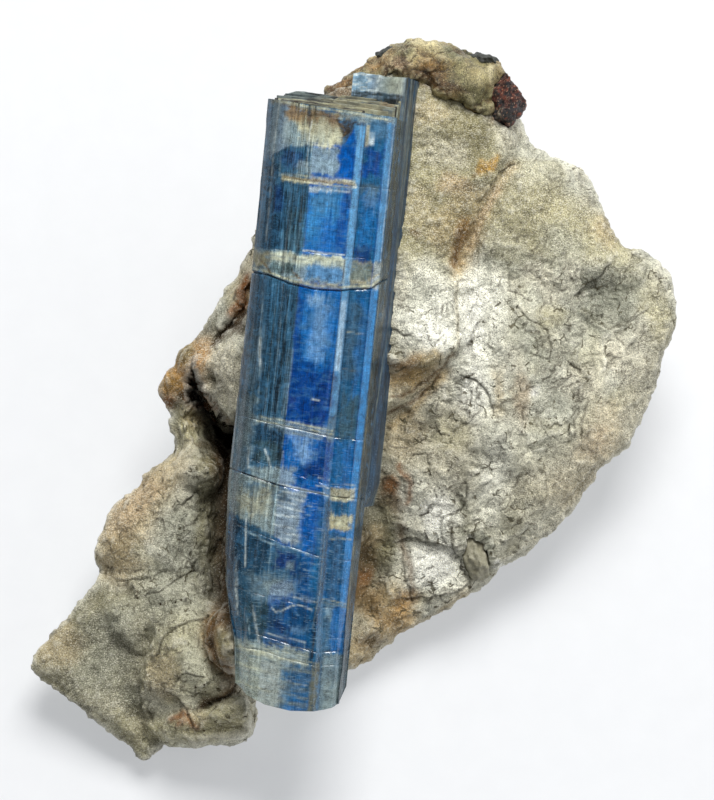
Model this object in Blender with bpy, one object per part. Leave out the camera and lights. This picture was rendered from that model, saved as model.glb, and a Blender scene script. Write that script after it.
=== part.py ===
"""A kyanite specimen: a blue blade of kyanite lying across a broken slab of silvery mica schist.

The slab carries a knobbly quartz cap and a garnet at its top edge, and a brown grain near its lower edge.
Every shape is drawn face on in millimetres, with x to the right, y up along the face and z out of the face.
The parent empty then lays the specimen back on the flat break under the slab, its origin at bottom centre.
"""

import math
import random

import bmesh
import bpy
from mathutils import Matrix, Vector, noise
from mathutils.bvhtree import BVHTree
from mathutils.geometry import delaunay_2d_cdt, intersect_point_line

MM = 0.001
LEAN = math.radians(15)  # the face leans back from flat by this much
FACE_HEIGHT = 14.5  # the face frame's origin is this far above the table
JOINT_GAP = 0.3  # left between neighbouring minerals

# The slab
FRONT_SPACING = 1.3  # between points of the front relief
BACK_SPACING = 2.5
RIM_SPACING = 1.3
FRONT_STEP = 1.6  # how far the broken edge falls from the front face to the rim
FRONT_INSET = 0.9  # and over what width
BACK_STEP = 3.4
BACK_INSET = 1.7
FRONT_ROUGHNESS = 0.26
BACK_ROUGHNESS = 0.47

# The kyanite blade, in its own frame: a across, b out of its front face, c along its length
BLADE_START = (-14.7, -30.0, 9.2)  # where a, b and c are zero
BLADE_TURN = math.radians(5.8)  # the blade leans to the right
BLADE_RISE = math.radians(1.2)  # its top end comes forward
BLADE_WIDTH = 13.4
BLADE_LENGTH = 61.6
BLADE_BACK = -4.5
REAR_BACK = -8.0
REAR_START, REAR_END = 20.0, 63.5

# Outline of the slab seen face on, clockwise from its lower left corner: x, y, and the height of its edge.
RIM = [
    (-32.2, -27.0, -2.0), (-31.6, -25.2, -2.0), (-30.2, -23.2, -2.2), (-28.9, -22.4, -2.4),
    (-28.6, -21.6, -2.4), (-27.6, -20.2, -2.6), (-26.2, -18.6, -2.8), (-25.3, -17.3, -3.0),
    (-25.8, -16.0, -3.0), (-25.9, -14.4, -3.2), (-25.4, -12.6, -3.2), (-24.6, -11.0, -3.2),
    (-23.2, -9.6, -3.0), (-21.6, -8.0, -2.8), (-20.0, -6.8, -2.6), (-18.4, -5.8, -2.4), (-18.1, -4.4, -2.2),
    (-18.4, -2.6, -2.0), (-18.2, -1.2, -2.0), (-19.2, -0.3, -2.0), (-19.8, 0.8, -2.0), (-19.2, 2.2, -1.8),
    (-18.1, 3.6, -1.6), (-17.8, 4.8, -1.4), (-16.4, 6.0, -1.2), (-15.6, 7.0, -1.2), (-14.4, 8.6, -1.2),
    (-13.2, 10.4, -1.2), (-12.0, 12.2, -1.0), (-10.9, 14.0, -0.8), (-9.6, 16.4, -0.6), (-8.4, 19.4, -0.4),
    (-7.0, 23.0, -0.2), (-5.6, 27.0, -0.2), (-3.6, 30.2, -0.4), (-2.4, 31.6, -0.8), (-0.8, 32.4, -1.2),
    (1.0, 33.2, -1.6), (3.0, 34.0, -2.0), (6.0, 34.4, -2.4), (9.6, 33.8, -2.6), (12.6, 33.0, -2.8),
    (14.6, 31.4, -3.0), (15.6, 29.2, -3.2), (16.4, 26.8, -3.4), (17.1, 24.8, -3.4), (18.8, 23.8, -3.4),
    (20.6, 22.8, -3.6), (21.5, 22.3, -3.6), (22.2, 21.4, -3.8), (24.0, 20.0, -3.8), (25.6, 17.6, -4.0),
    (26.6, 15.8, -4.0), (27.4, 14.9, -4.2), (28.8, 14.8, -4.2), (29.9, 14.2, -4.2), (30.4, 13.1, -4.4),
    (31.3, 11.7, -4.4), (31.9, 9.8, -4.4), (32.0, 8.0, -4.4), (31.3, 6.0, -4.6), (30.8, 4.0, -4.6),
    (30.3, 2.4, -4.6), (29.3, 0.2, -4.6), (28.5, -1.8, -4.8), (27.0, -4.0, -4.8), (25.4, -5.7, -4.8),
    (24.2, -6.6, -4.8), (23.5, -8.2, -5.0), (22.0, -10.0, -5.0), (20.4, -12.0, -5.0), (19.0, -14.1, -5.0),
    (17.2, -15.2, -5.0), (15.0, -16.6, -5.2), (13.2, -18.2, -5.2), (11.6, -19.2, -5.2), (9.6, -20.4, -5.2),
    (7.2, -21.7, -5.2), (5.2, -23.0, -5.2), (3.0, -24.6, -5.2), (1.2, -26.1, -5.4), (-1.0, -27.3, -5.4),
    (-3.6, -27.2, -5.2), (-6.4, -26.8, -5.0), (-8.8, -27.6, -4.6), (-10.6, -29.4, -4.0),
    (-10.3, -31.4, -3.4), (-10.4, -33.4, -3.2), (-11.6, -34.1, -3.2), (-14.4, -34.2, -3.2),
    (-17.4, -34.7, -3.2), (-18.8, -34.5, -3.0), (-19.6, -34.3, -3.0), (-20.4, -35.4, -3.0),
    (-20.9, -36.1, -3.0), (-21.9, -35.7, -3.0), (-23.4, -33.9, -2.8), (-25.4, -32.3, -2.6),
    (-27.6, -30.6, -2.4), (-30.0, -28.7, -2.2),
]

# Lines of the front relief, each point x, y and height. Pairs of lines close together are ledges and cracks.
FRONT_LINES = {
    "block_beside_blade": [
        (6.3, 31.0, 3.0), (5.8, 26.0, 3.1), (4.9, 20.0, 3.2), (4.3, 15.5, 3.3), (3.8, 10.0, 3.4),
    ],
    "block_ledge_top": [
        (2.6, 3.8, 3.2), (4.0, 3.7, 3.2), (5.6, 3.5, 3.1), (7.0, 3.8, 2.9), (8.4, 4.4, 2.7),
        (9.6, 5.3, 2.4), (10.2, 6.4, 2.3), (10.0, 9.0, 2.3), (9.8, 12.0, 2.3),
    ],
    "block_ledge_foot": [
        (1.2, -3.8, -1.0), (3.0, -2.4, -0.7), (4.8, -0.6, -0.3), (7.0, 1.6, 0.3), (9.0, 3.3, 0.9),
        (10.5, 4.6, 1.2), (10.8, 6.4, 1.3), (10.6, 9.0, 1.4), (10.4, 12.2, 1.2),
    ],
    "ledge_middle": [(2.4, 1.4, 1.4), (4.4, 2.0, 1.5), (6.4, 2.6, 1.6), (8.0, 3.4, 1.6)],
    "ledge_low_lip": [(2.2, -0.6, 1.3), (3.6, 0.0, 1.3), (4.6, 0.8, 1.2)],
    "groove": [
        (16.2, 25.0, -0.6), (15.0, 23.4, -0.2), (14.2, 21.8, -0.1), (13.2, 20.0, -0.2), (12.0, 17.6, -0.5),
        (11.1, 15.4, -0.9), (10.2, 13.6, -0.2),
    ],
    "groove_left_bank": [
        (14.2, 24.6, 1.5), (12.4, 21.6, 1.8), (10.8, 19.4, 2.0), (9.4, 16.4, 2.3), (8.9, 13.8, 2.4),
    ],
    "groove_right_bank": [(16.4, 22.0, 0.9), (14.8, 19.8, 1.1), (13.2, 17.0, 1.2), (12.0, 14.2, 1.3)],
    "dish_rim": [
        (23.6, 13.2, -0.4), (27.6, 13.4, -1.6), (28.8, 11.2, -2.0), (27.8, 8.8, -1.9), (26.0, 7.2, -1.5),
    ],
    "dish": [(22.8, 12.0, -1.5), (24.6, 10.6, -2.1), (26.6, 10.4, -2.4), (25.0, 8.8, -2.0)],
    "plate_crest": [
        (13.0, 10.0, 1.4), (13.6, 5.0, 1.6), (12.6, 0.0, 1.3), (11.6, -4.6, 0.9), (11.0, -9.4, 0.2),
    ],
    "low_crack_upper": [(5.2, -12.9, -1.2), (6.6, -13.3, -1.1), (8.0, -14.3, -1.2), (9.4, -14.8, -1.3)],
    "low_crack_lower": [(5.0, -13.7, -2.1), (6.4, -14.2, -2.0), (7.8, -15.2, -2.0), (9.2, -15.7, -2.1)],
    "bright_plate_edge": [(3.9, -14.8, -2.3), (4.6, -17.0, -2.6), (4.9, -19.4, -3.0), (5.2, -21.2, -3.4)],
    "hollow": [
        (2.0, -8.4, -2.0), (1.6, -11.0, -3.0), (2.2, -13.4, -3.0), (2.6, -16.2, -3.6), (0.6, -19.8, -4.2),
        (-0.6, -22.6, -4.2),
    ],
    "tan_plate": [(3.2, -19.0, -3.0), (2.2, -21.6, -3.0), (0.6, -24.4, -3.0)],
    "under_blade_left": [
        (-3.0, 28.0, 6.0), (-4.6, 24.0, 6.2), (-6.4, 18.4, 6.2), (-8.0, 10.0, 6.2), (-9.0, 0.0, 6.4),
        (-9.8, -8.0, 6.4), (-10.4, -14.0, 6.4), (-10.8, -18.6, 6.4),
    ],
    "under_blade_right": [
        (2.3, 28.6, 6.0), (1.4, 20.0, 6.2), (0.4, 10.0, 6.2), (-0.6, 0.6, 6.4), (-1.7, -6.4, 6.4),
        (-3.4, -13.0, 6.4), (-5.6, -19.0, 6.2), (-8.0, -23.6, 5.8),
    ],
    "left_slab": [
        (-10.6, 13.0, 0.8), (-12.2, 9.4, 1.0), (-14.0, 7.2, 0.9), (-15.6, 5.0, 0.8), (-17.0, 3.0, 0.2),
    ],
    "left_slab_foot": [(-11.0, 11.4, -1.6), (-11.6, 8.6, -0.9), (-13.4, 6.2, -0.4), (-15.6, 4.3, -0.3)],
    "lump_edge": [
        (-11.6, 6.9, 4.6), (-13.2, 5.7, 3.4), (-15.9, 4.2, 2.6), (-15.8, 2.8, 2.4), (-14.5, 0.8, 2.6),
        (-13.4, -0.6, 3.0), (-12.4, -2.0, 3.0),
    ],
    "lump_crest": [(-11.7, 5.4, 5.6), (-13.2, 4.0, 5.0), (-12.6, 1.8, 5.1), (-12.0, -0.8, 4.6)],
    "cavity_wall": [(-16.4, 2.0, -1.0), (-15.6, -0.6, -3.0), (-14.2, -2.2, -4.4), (-12.6, -3.4, -5.2)],
    "cavity_floor": [(-15.4, -2.4, -5.6), (-14.0, -3.8, -6.6), (-12.8, -5.2, -6.8)],
    "left_tip": [(-18.6, 1.0, -0.4), (-17.4, 2.0, 0.3), (-16.9, 0.0, 0.0)],
    "neck": [(-17.4, -2.2, 0.3), (-16.6, -4.4, 0.1), (-15.4, -5.4, -1.8)],
    "lobe_crest": [
        (-17.0, -7.0, 1.1), (-18.2, -10.4, 1.1), (-18.6, -14.0, 1.3), (-18.0, -17.6, 1.3),
        (-17.6, -20.6, 0.9),
    ],
    "lobe_lump": [(-16.0, -6.6, 1.6), (-14.9, -7.4, 1.6), (-15.6, -8.4, 1.3)],
    "lobe_lump_foot": [(-14.4, -8.0, -0.6), (-15.4, -9.0, 0.2), (-16.8, -10.2, 0.5)],
    "crevice": [
        (-13.1, -6.6, -5.6), (-13.4, -9.4, -4.8), (-13.6, -12.6, -4.6), (-13.9, -16.0, -4.6),
        (-14.1, -19.0, -4.2), (-13.9, -20.6, -3.0),
    ],
    "crevice_bank": [(-15.2, -11.4, -0.9), (-15.4, -15.0, -0.9), (-15.6, -18.6, -0.8)],
    "lobe_shoulder": [
        (-22.4, -11.6, -0.8), (-23.6, -14.6, -1.0), (-22.0, -17.2, -0.2), (-23.4, -18.6, -0.8),
    ],
    "scarp_top": [(-25.2, -19.8, -0.6), (-24.6, -21.4, -0.2), (-23.8, -23.0, -0.1), (-22.6, -24.2, -0.2)],
    "scarp_foot": [(-26.0, -20.8, -1.7), (-25.6, -22.4, -1.7), (-24.6, -24.0, -1.6), (-23.2, -25.4, -1.6)],
    "corner_facet": [
        (-29.2, -25.0, -1.4), (-27.4, -26.8, -1.5), (-25.0, -28.4, -1.5), (-23.0, -30.8, -1.6),
    ],
    "foot_scarp_low": [
        (-20.8, -23.6, -0.8), (-21.3, -25.6, -1.3), (-21.6, -28.0, -1.5), (-21.8, -30.8, -1.5),
        (-21.6, -32.6, -1.4),
    ],
    "foot_scarp_high": [(-19.8, -23.4, 1.6), (-20.3, -25.6, 1.6), (-20.7, -28.0, 1.2), (-20.9, -30.4, 0.3)],
    "foot_knob": [(-18.2, -23.6, 2.2), (-17.4, -25.2, 3.0), (-16.4, -26.6, 3.4), (-14.8, -28.0, 3.6)],
    "foot_notch": [
        (-18.6, -29.2, 1.2), (-17.2, -30.2, 1.0), (-15.4, -30.7, 1.4), (-13.6, -29.8, 1.8),
        (-12.3, -28.7, 2.4),
    ],
    "nodule_seam": [(-15.3, -21.6, 0.7), (-15.5, -23.6, 1.4), (-14.4, -25.9, 2.2), (-12.8, -27.2, 3.4)],
    "nodule_flank": [(-14.2, -21.4, 2.8), (-14.5, -23.4, 4.0), (-13.8, -25.3, 4.9)],
    "nodule": [(-13.1, -21.6, 5.4), (-13.1, -23.2, 7.0), (-12.6, -25.2, 7.6), (-12.2, -26.6, 6.2)],
    "foot_top": [
        (-18.4, -31.9, 1.6), (-15.4, -31.9, 2.8), (-13.2, -30.9, 3.8), (-11.5, -30.5, 4.0),
        (-11.1, -31.7, 3.4),
    ],
    "foot_lip": [(-19.0, -33.0, 1.0), (-16.0, -33.4, 1.8), (-13.4, -33.2, 2.4), (-11.4, -32.9, 2.4)],
    "brown_notch": [(-19.6, -30.6, -0.1), (-18.9, -31.2, -0.2), (-18.3, -30.7, 0.2)],
}

# Single heights of the front relief between those lines
FRONT_SPOTS = [
    (8.6, 28.0, 3.1), (11.6, 27.4, 2.6), (14.6, 26.6, 1.5), (8.0, 22.0, 2.7), (7.0, 16.0, 2.9),
    (7.2, 8.0, 2.9), (5.4, 6.2, 3.4), (19.6, 21.0, -0.6), (18.0, 18.0, 0.4), (22.0, 18.0, -1.0),
    (20.0, 14.0, 0.2), (25.0, 15.0, -1.6), (16.6, 11.0, 1.0), (18.8, 7.0, 0.9), (21.0, 10.0, 0.0),
    (29.6, 9.0, -2.4), (29.4, 4.8, -2.4), (26.0, 3.6, -1.2), (22.0, 4.4, 0.1), (17.0, 2.0, 1.1),
    (22.4, 0.0, -0.5), (26.8, 0.0, -2.0), (18.0, -3.4, 0.4), (23.0, -4.4, -1.5), (8.2, -2.4, 0.1),
    (6.0, -6.0, -0.4), (15.0, -8.0, -0.4), (20.0, -8.6, -1.5), (8.6, -9.6, -0.5), (4.6, -9.0, -1.0),
    (17.0, -12.6, -2.0), (12.8, -13.4, -1.6), (10.0, -12.0, -1.0), (14.4, -15.0, -2.4), (7.0, -17.6, -2.2),
    (9.0, -17.8, -2.4), (7.4, -19.6, -2.9), (12.0, -17.6, -2.8), (-1.6, -25.4, -1.6), (0.8, -16.0, -3.6),
    (-15.2, 2.0, -1.8), (-20.6, -8.6, -0.6), (-23.6, -17.0, -1.4), (-26.4, -23.6, -1.7),
    (-28.6, -22.8, -1.5), (-20.6, -18.8, 0.6), (-21.4, -21.6, 0.3), (-19.2, -21.8, 0.4),
    (-16.4, -19.2, 0.2), (-22.4, -27.8, -1.5), (-21.0, -34.6, -1.6),
]

# The flat break that the specimen rests on, seen from the front: x and y
BASE = [
    (-20.5, -20.0), (-15.0, -25.5), (-8.0, -23.0), (-1.0, -18.5), (8.0, -14.5), (16.0, -8.0), (22.0, 0.5),
    (22.5, 8.5), (16.5, 14.0), (8.0, 19.5), (0.0, 19.0), (-4.5, 11.0), (-7.0, 3.0), (-13.0, -5.0),
    (-18.5, -12.0),
]

# Corners of the broken facets between that base and the edge
BACK_SPOTS = [
    (-27.5, -25.0, -5.4), (-23.6, -29.6, -6.0), (-17.6, -32.2, -7.2), (-11.8, -30.6, -7.8),
    (-4.0, -24.6, -8.6), (4.0, -20.6, -9.2), (12.0, -15.4, -9.8), (19.6, -8.6, -9.8), (25.4, -1.4, -9.6),
    (28.6, 6.6, -9.4), (26.4, 11.6, -11.6), (21.6, 18.2, -9.2), (15.8, 20.6, -13.4), (13.0, 27.6, -10.4),
    (6.4, 25.0, -16.0), (5.0, 31.0, -10.0), (-1.6, 25.8, -12.4), (-5.0, 21.6, -8.4), (-8.4, 12.6, -9.6),
    (-11.4, 6.2, -7.4), (-16.0, 1.2, -7.0), (-16.2, -5.0, -9.0), (-21.6, -11.2, -7.2), (-23.4, -18.0, -7.6),
]

# The quartz cap's knobs: centre x, y, z, then half its width, height and depth
QUARTZ_KNOBS = [
    (6.2, 34.1, 0.2, 3.4, 1.9, 3.0), (3.0, 33.6, -0.4, 2.8, 1.6, 3.2), (9.2, 33.8, -0.2, 2.6, 1.8, 3.4),
    (7.6, 33.1, 2.0, 2.5, 1.4, 1.9), (5.0, 33.2, 2.0, 1.6, 1.1, 1.7), (0.6, 32.6, -0.2, 2.4, 1.4, 2.4),
    (-2.0, 31.4, 0.8, 1.7, 0.9, 1.8), (11.4, 31.6, 0.9, 2.2, 2.4, 2.9), (12.8, 33.0, -0.8, 2.0, 1.7, 2.8),
    (10.0, 34.6, 0.3, 1.0, 0.9, 1.4), (8.2, 35.0, -1.6, 1.8, 1.0, 1.8), (4.6, 34.6, -2.2, 2.2, 1.1, 1.8),
    (11.8, 33.6, -2.8, 1.8, 1.4, 1.8), (2.0, 33.4, -3.0, 2.0, 1.2, 1.6), (9.4, 31.2, 2.2, 2.0, 1.5, 1.4),
    (12.0, 29.6, 1.2, 1.3, 1.3, 1.6), (6.8, 32.2, 2.4, 1.2, 0.8, 1.2), (14.2, 28.7, 1.2, 0.6, 0.6, 0.8),
]
KNOB_UNEVENNESS = 0.22
KNOB_VOXEL = 0.75

GARNET_CENTRE = (15.1, 30.0, 0.2)
GARNET_HALF = (1.9, 3.1, 2.5)
GARNET_TURN = math.radians(-14)

GRAIN_CENTRE = (11.8, -15.8, -3.0)
GRAIN_HALF = (1.5, 2.7, 1.9)
GRAIN_TURN = math.radians(16)

# Two black grains stand in the quartz: centre, half size and turn
BLACK_GRAINS = [
    ((2.9, 34.9, 0.4), (1.1, 0.75, 1.1), math.radians(30)),
    ((12.2, 34.6, 0.1), (1.5, 0.7, 1.3), math.radians(-8)),
]
FACE_TURN = math.radians(137.5)  # from one flat face of a grain to the next, which spreads them evenly

# Across the front blade, as a and b, from its left edge over the front face and round the back
BLADE_SECTION = [
    (0.0, -2.3), (0.2, -1.6), (0.95, -0.9), (1.7, -0.4), (2.7, -0.22), (3.9, -0.1), (5.1, 0.0), (7.0, 0.02),
    (9.0, 0.0), (9.75, -0.72), (10.8, -0.8), (11.85, -0.9), (12.6, -1.6), (12.85, -2.5), (13.1, -3.5),
    (BLADE_WIDTH, BLADE_BACK), (9.0, BLADE_BACK - 0.05), (5.0, BLADE_BACK - 0.05), (1.3, BLADE_BACK),
    (0.4, -3.4),
]
# Lines up the blade, as c at its left edge, middle and right edge, then how much the section shrinks there.
# The shrunk ones are old breaks across it.
BLADE_STATIONS = [
    (3.4, 3.0, 4.0, 0.0), (5.6, 5.2, 6.0, 0.0), (8.2, 8.0, 8.6, 0.0), (11.4, 11.0, 11.4, 0.0),
    (16.4, 16.0, 16.4, 0.0), (22.9, 21.4, 20.8, 0.0), (23.5, 22.1, 21.5, 0.32), (24.2, 22.8, 22.2, 0.0),
    (29.0, 27.8, 27.4, 0.0), (36.0, 35.2, 35.6, 0.0), (43.2, 41.1, 42.2, 0.0), (43.9, 41.9, 43.0, 0.45),
    (44.3, 43.8, 44.6, 0.28), (45.3, 45.6, 46.2, 0.0), (48.4, 48.4, 48.8, 0.0), (51.6, 51.6, 51.8, 0.0),
    (52.3, 52.3, 52.4, 0.12), (53.0, 53.0, 53.1, 0.0), (BLADE_LENGTH, BLADE_LENGTH, BLADE_LENGTH, 0.0),
]
# The uneven lower end, as a and c
BLADE_FOOT = [
    (3.0, 1.2), (5.3, 0.55), (7.6, 0.2), (10.2, 0.45), (10.7, 1.0), (12.4, 0.9), (13.0, 1.7), (13.6, 3.0),
]
# How the blade's left edge closes in towards its foot, and its back comes forward: c, least a, back b
LOWER_TAPER = [
    (0.0, 3.4, -3.1), (5.2, 2.2, -3.3), (7.7, 1.1, -3.7), (10.2, 0.0, -4.1), (14.0, 0.0, BLADE_BACK),
]

REAR_SECTION = [
    (8.0, -4.2), (12.4, -2.9), (13.2, -4.6), (14.45, REAR_BACK), (11.6, REAR_BACK - 0.15), (8.4, REAR_BACK),
]

# Plates at the top end of the blade: c at the left and right edge, and how deep each reaches from the front
END_PLATES = [
    (59.8, 59.0, -0.5), (60.1, 59.6, -1.1), (60.4, 60.2, -1.9), (60.7, 60.8, -2.9), (61.0, 61.5, -6.0),
]
CHIP_LOW, CHIP_HIGH = 55.2, 60.6  # the shallow chip off the front face, under the top end


def base_depth(y):
    """Where the table's plane lies behind the point at height y on the face."""
    return -(FACE_HEIGHT + y * math.sin(LEAN)) / math.cos(LEAN)


def inside(point, outline):
    """Whether a point lies inside a closed outline."""
    x, y = point
    crossings = 0
    for (ax, ay, *_), (bx, by, *_) in zip(outline, outline[1:] + outline[:1]):
        if (ay > y) != (by > y) and x < ax + (bx - ax) * (y - ay) / (by - ay):
            crossings += 1
    return crossings % 2 == 1


def edge_distance(point, outline):
    """Distance from a point to the nearest side of a closed outline."""
    nearest = math.inf
    here = Vector(point).to_3d()
    for a, b in zip(outline, outline[1:] + outline[:1]):
        start, end = Vector(a[:2]).to_3d(), Vector(b[:2]).to_3d()
        foot, share = intersect_point_line(here, start, end)
        foot = start.lerp(end, min(1.0, max(0.0, share)))
        nearest = min(nearest, (here - foot).length)
    return nearest


def divided(line, spacing, closed=False):
    """The line with points added so that none are further apart than the spacing."""
    points = []
    ends = line[1:] + line[:1] if closed else line[1:]
    for start, end in zip(line, ends):
        a, b = Vector(start), Vector(end)
        count = max(1, math.ceil((b - a).length / spacing))
        points += [tuple(a.lerp(b, k / count)) for k in range(count)]
    return points if closed else points + [tuple(line[-1])]


def spread(outline, spacing, seed):
    """Points strewn inside an outline on a shaken triangular grid."""
    left, right = min(p[0] for p in outline), max(p[0] for p in outline)
    low, high = min(p[1] for p in outline), max(p[1] for p in outline)
    found = []
    chance = random.Random(seed)
    shake = spacing * 0.18
    row_height = spacing * math.sqrt(3) / 2
    for row in range(int((high - low) / row_height) + 2):
        for column in range(int((right - left) / spacing) + 2):
            x = left + (column + 0.5 * (row % 2)) * spacing + chance.uniform(-shake, shake)
            y = low + row * row_height + chance.uniform(-shake, shake)
            point = (x, y)
            if inside(point, outline):
                found.append(point)
    return found


def relief(points, lines):
    """A function that gives the height at x, y on the facets between the given points and lines."""
    places = list(points)
    edges = []
    for line in lines:
        first = len(places)
        places += line
        edges += [(first + k, first + k + 1) for k in range(len(line) - 1)]
    flat = [Vector(p[:2]) for p in places]
    corners, _, faces, origins, _, _ = delaunay_2d_cdt(flat, edges, [], 0, 1e-4)
    solid = []
    for corner, origin in zip(corners, origins):
        height = places[origin[0]][2] if origin else 0.0
        solid.append((corner.x, corner.y, height))
    tree = BVHTree.FromPolygons(solid, faces)

    def height_at(x, y):
        hit = tree.ray_cast(Vector((x, y, 100.0)), Vector((0, 0, -1)))[0]
        if hit is None:
            hit = tree.find_nearest(Vector((x, y, 0.0)))[0]
        return hit.z

    return height_at


def rough(x, y, seed):
    """Unevenness of a broken face, from lumps of 8 mm to pits of 1.5 mm."""
    broad = noise.noise((x * 0.16, y * 0.16, seed))
    middle = noise.noise((x * 0.42, y * 0.42, seed + 7))
    fine = noise.noise((x * 1.0, y * 1.0, seed + 13))
    return 1.2 * broad + 1.0 * middle + 0.55 * fine


def edge_fall(distance, inset):
    """1 on the rim, falling to 0 at the inset."""
    return max(0.0, 1.0 - distance / inset) ** 1.6


def sheet(outline, inner, lines, height_at):
    """Points and triangles of one side of the slab. The outline's points come first."""
    flat = [Vector(p[:2]) for p in outline]
    edges = [(k, (k + 1) % len(outline)) for k in range(len(outline))]
    for line in lines:
        first = len(flat)
        flat += [Vector(p[:2]) for p in line]
        edges += [(first + k, first + k + 1) for k in range(len(line) - 1)]
    flat += [Vector(p) for p in inner]
    corners, _, faces, origins, _, _ = delaunay_2d_cdt(flat, edges, [], 1, 1e-4)
    points = []
    for corner, origin in zip(corners, origins):
        on_rim = [k for k in origin if k < len(outline)]
        height = outline[on_rim[0]][2] if on_rim else height_at(corner.x, corner.y)
        points.append(Vector((corner.x, corner.y, height)))
    return points, faces


def clear_of(points, others, gap):
    """The points that keep a gap to all the others."""
    return [p for p in points if all((p[0] - q[0]) ** 2 + (p[1] - q[1]) ** 2 > gap * gap for q in others)]


def slab_mesh():
    """The schist slab: a front relief and a broken back, sewn together round the rim."""
    rim = divided(RIM, RIM_SPACING, closed=True)
    shoulder = [(x, y, z + FRONT_STEP) for x, y, z in RIM]
    heel = [(x, y, z - BACK_STEP) for x, y, z in RIM]
    front_lines = [divided(line, FRONT_SPACING) for line in FRONT_LINES.values()]
    front_height = relief(shoulder + FRONT_SPOTS, list(FRONT_LINES.values()))
    base = [(x, y, base_depth(y)) for x, y in BASE]
    back_height = relief(heel + BACK_SPOTS, [base + base[:1]])

    def front_at(x, y):
        distance = edge_distance((x, y), RIM)
        settled = min(1.0, distance / 2.0)
        height = front_height(x, y) - FRONT_STEP * edge_fall(distance, FRONT_INSET)
        return height + FRONT_ROUGHNESS * settled * rough(x, y, 3.0)

    def back_at(x, y):
        if inside((x, y), BASE) or edge_distance((x, y), BASE) < 0.02:
            return base_depth(y)
        distance = edge_distance((x, y), RIM)
        settled = min(1.0, distance / 2.0, edge_distance((x, y), BASE) / 2.0)
        height = back_height(x, y) + BACK_STEP * edge_fall(distance, BACK_INSET)
        return max(height + BACK_ROUGHNESS * settled * rough(x, y, 31.0), base_depth(y) + 0.05)

    def inner_points(lines, spacing, inset, seed):
        near_rim = [p for p in spread(RIM, spacing * 0.7, seed + 1) if 0.3 < edge_distance(p, RIM) < inset]
        grid = [p for p in spread(RIM, spacing, seed) if edge_distance(p, RIM) > inset]
        line_points = [p for line in lines for p in line]
        return clear_of(near_rim + grid, line_points, spacing * 0.45)

    front_points, front_faces = sheet(
        rim, inner_points(front_lines, FRONT_SPACING, FRONT_INSET + 0.3, 1), front_lines, front_at
    )
    base_line = divided(base, BACK_SPACING, closed=True)
    back_lines = [base_line + base_line[:1]]
    back_points, back_faces = sheet(
        rim, inner_points(back_lines, BACK_SPACING, BACK_INSET, 9), back_lines, back_at
    )
    return sewn(front_points, front_faces, back_points, back_faces)


def sewn(front_points, front_faces, back_points, back_faces):
    """One closed mesh of the two sides, which meet at their shared rim points."""
    mesh = bmesh.new()
    for points, faces, turned in ((front_points, front_faces, False), (back_points, back_faces, True)):
        verts = [mesh.verts.new(p * MM) for p in points]
        for face in faces:
            mesh.faces.new([verts[k] for k in (reversed(face) if turned else face)])
    bmesh.ops.remove_doubles(mesh, verts=mesh.verts, dist=0.002 * MM)
    bmesh.ops.recalc_face_normals(mesh, faces=mesh.faces)
    return mesh


def blade_matrix():
    """From the blade's own frame to the face frame, both in metres."""
    turn = Matrix.Rotation(-BLADE_TURN, 4, "Z") @ Matrix.Rotation(BLADE_RISE, 4, "X")
    own = Matrix(((1, 0, 0, 0), (0, 0, 1, 0), (0, 1, 0, 0), (0, 0, 0, 1)))
    return Matrix.Translation(Vector(BLADE_START) * MM) @ turn @ own


def between(rows, x):
    """The values beside x in rows that start with rising x, straight between the rows."""
    if x <= rows[0][0]:
        return rows[0][1:]
    for low, high in zip(rows, rows[1:]):
        if x <= high[0]:
            share = (x - low[0]) / (high[0] - low[0])
            return [p + (q - p) * share for p, q in zip(low[1:], high[1:])]
    return rows[-1][1:]


def grown_section(section, grow):
    """A section with every side moved out by the same distance."""
    centre = sum((Vector(p) for p in section), Vector((0, 0))) / len(section)
    moved = []
    for k, point in enumerate(section):
        before, after = Vector(section[k - 1]), Vector(section[(k + 1) % len(section)])
        along = (after - before).normalized()
        out = Vector((-along.y, along.x))
        if out.dot(Vector(point) - centre) < 0:
            out = -out
        moved.append(tuple(Vector(point) + out * grow))
    return moved


def prism(sections):
    """A closed mesh through sections of equal count, given as lists of points in the blade's frame."""
    mesh = bmesh.new()
    rings = [[mesh.verts.new(Vector(p) * MM) for p in ring] for ring in sections]
    for low, high in zip(rings, rings[1:]):
        for k in range(len(low)):
            n = (k + 1) % len(low)
            mesh.faces.new((low[k], low[n], high[n], high[k]))
    mesh.faces.new(rings[0])
    mesh.faces.new(rings[-1])
    bmesh.ops.triangulate(mesh, faces=mesh.faces)
    bmesh.ops.recalc_face_normals(mesh, faces=mesh.faces)
    return mesh


def blade_ring(heights, shrink, grow):
    """One ring of the front blade. The heights are a function of a."""
    ring = []
    middle_a, middle_b = BLADE_WIDTH / 2, BLADE_BACK / 2
    for a, b in BLADE_SECTION:
        least, back = between(LOWER_TAPER, heights(a))
        a = least + a * (BLADE_WIDTH - least) / BLADE_WIDTH
        b *= back / BLADE_BACK if b < -1.7 else 1.0
        inward = Vector((middle_a - a, middle_b - b)).normalized() * shrink
        ring.append((a + inward.x, b + inward.y))
    return [(a, b, heights(a)) for a, b in grown_section(ring, grow)]


def front_blade(grow=0.0):
    """The front blade, with its uneven foot and the grooves where old breaks cross it."""
    sections = [blade_ring(lambda a: between(BLADE_FOOT, a)[0] - grow, 0.0, grow)]
    for left, middle, right, shrink in BLADE_STATIONS:
        across = [(0.0, left), (BLADE_WIDTH / 2, middle), (BLADE_WIDTH, right)]
        sections.append(blade_ring(lambda a, rows=across: between(rows, a)[0], shrink, grow))
    return prism(sections)


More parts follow.
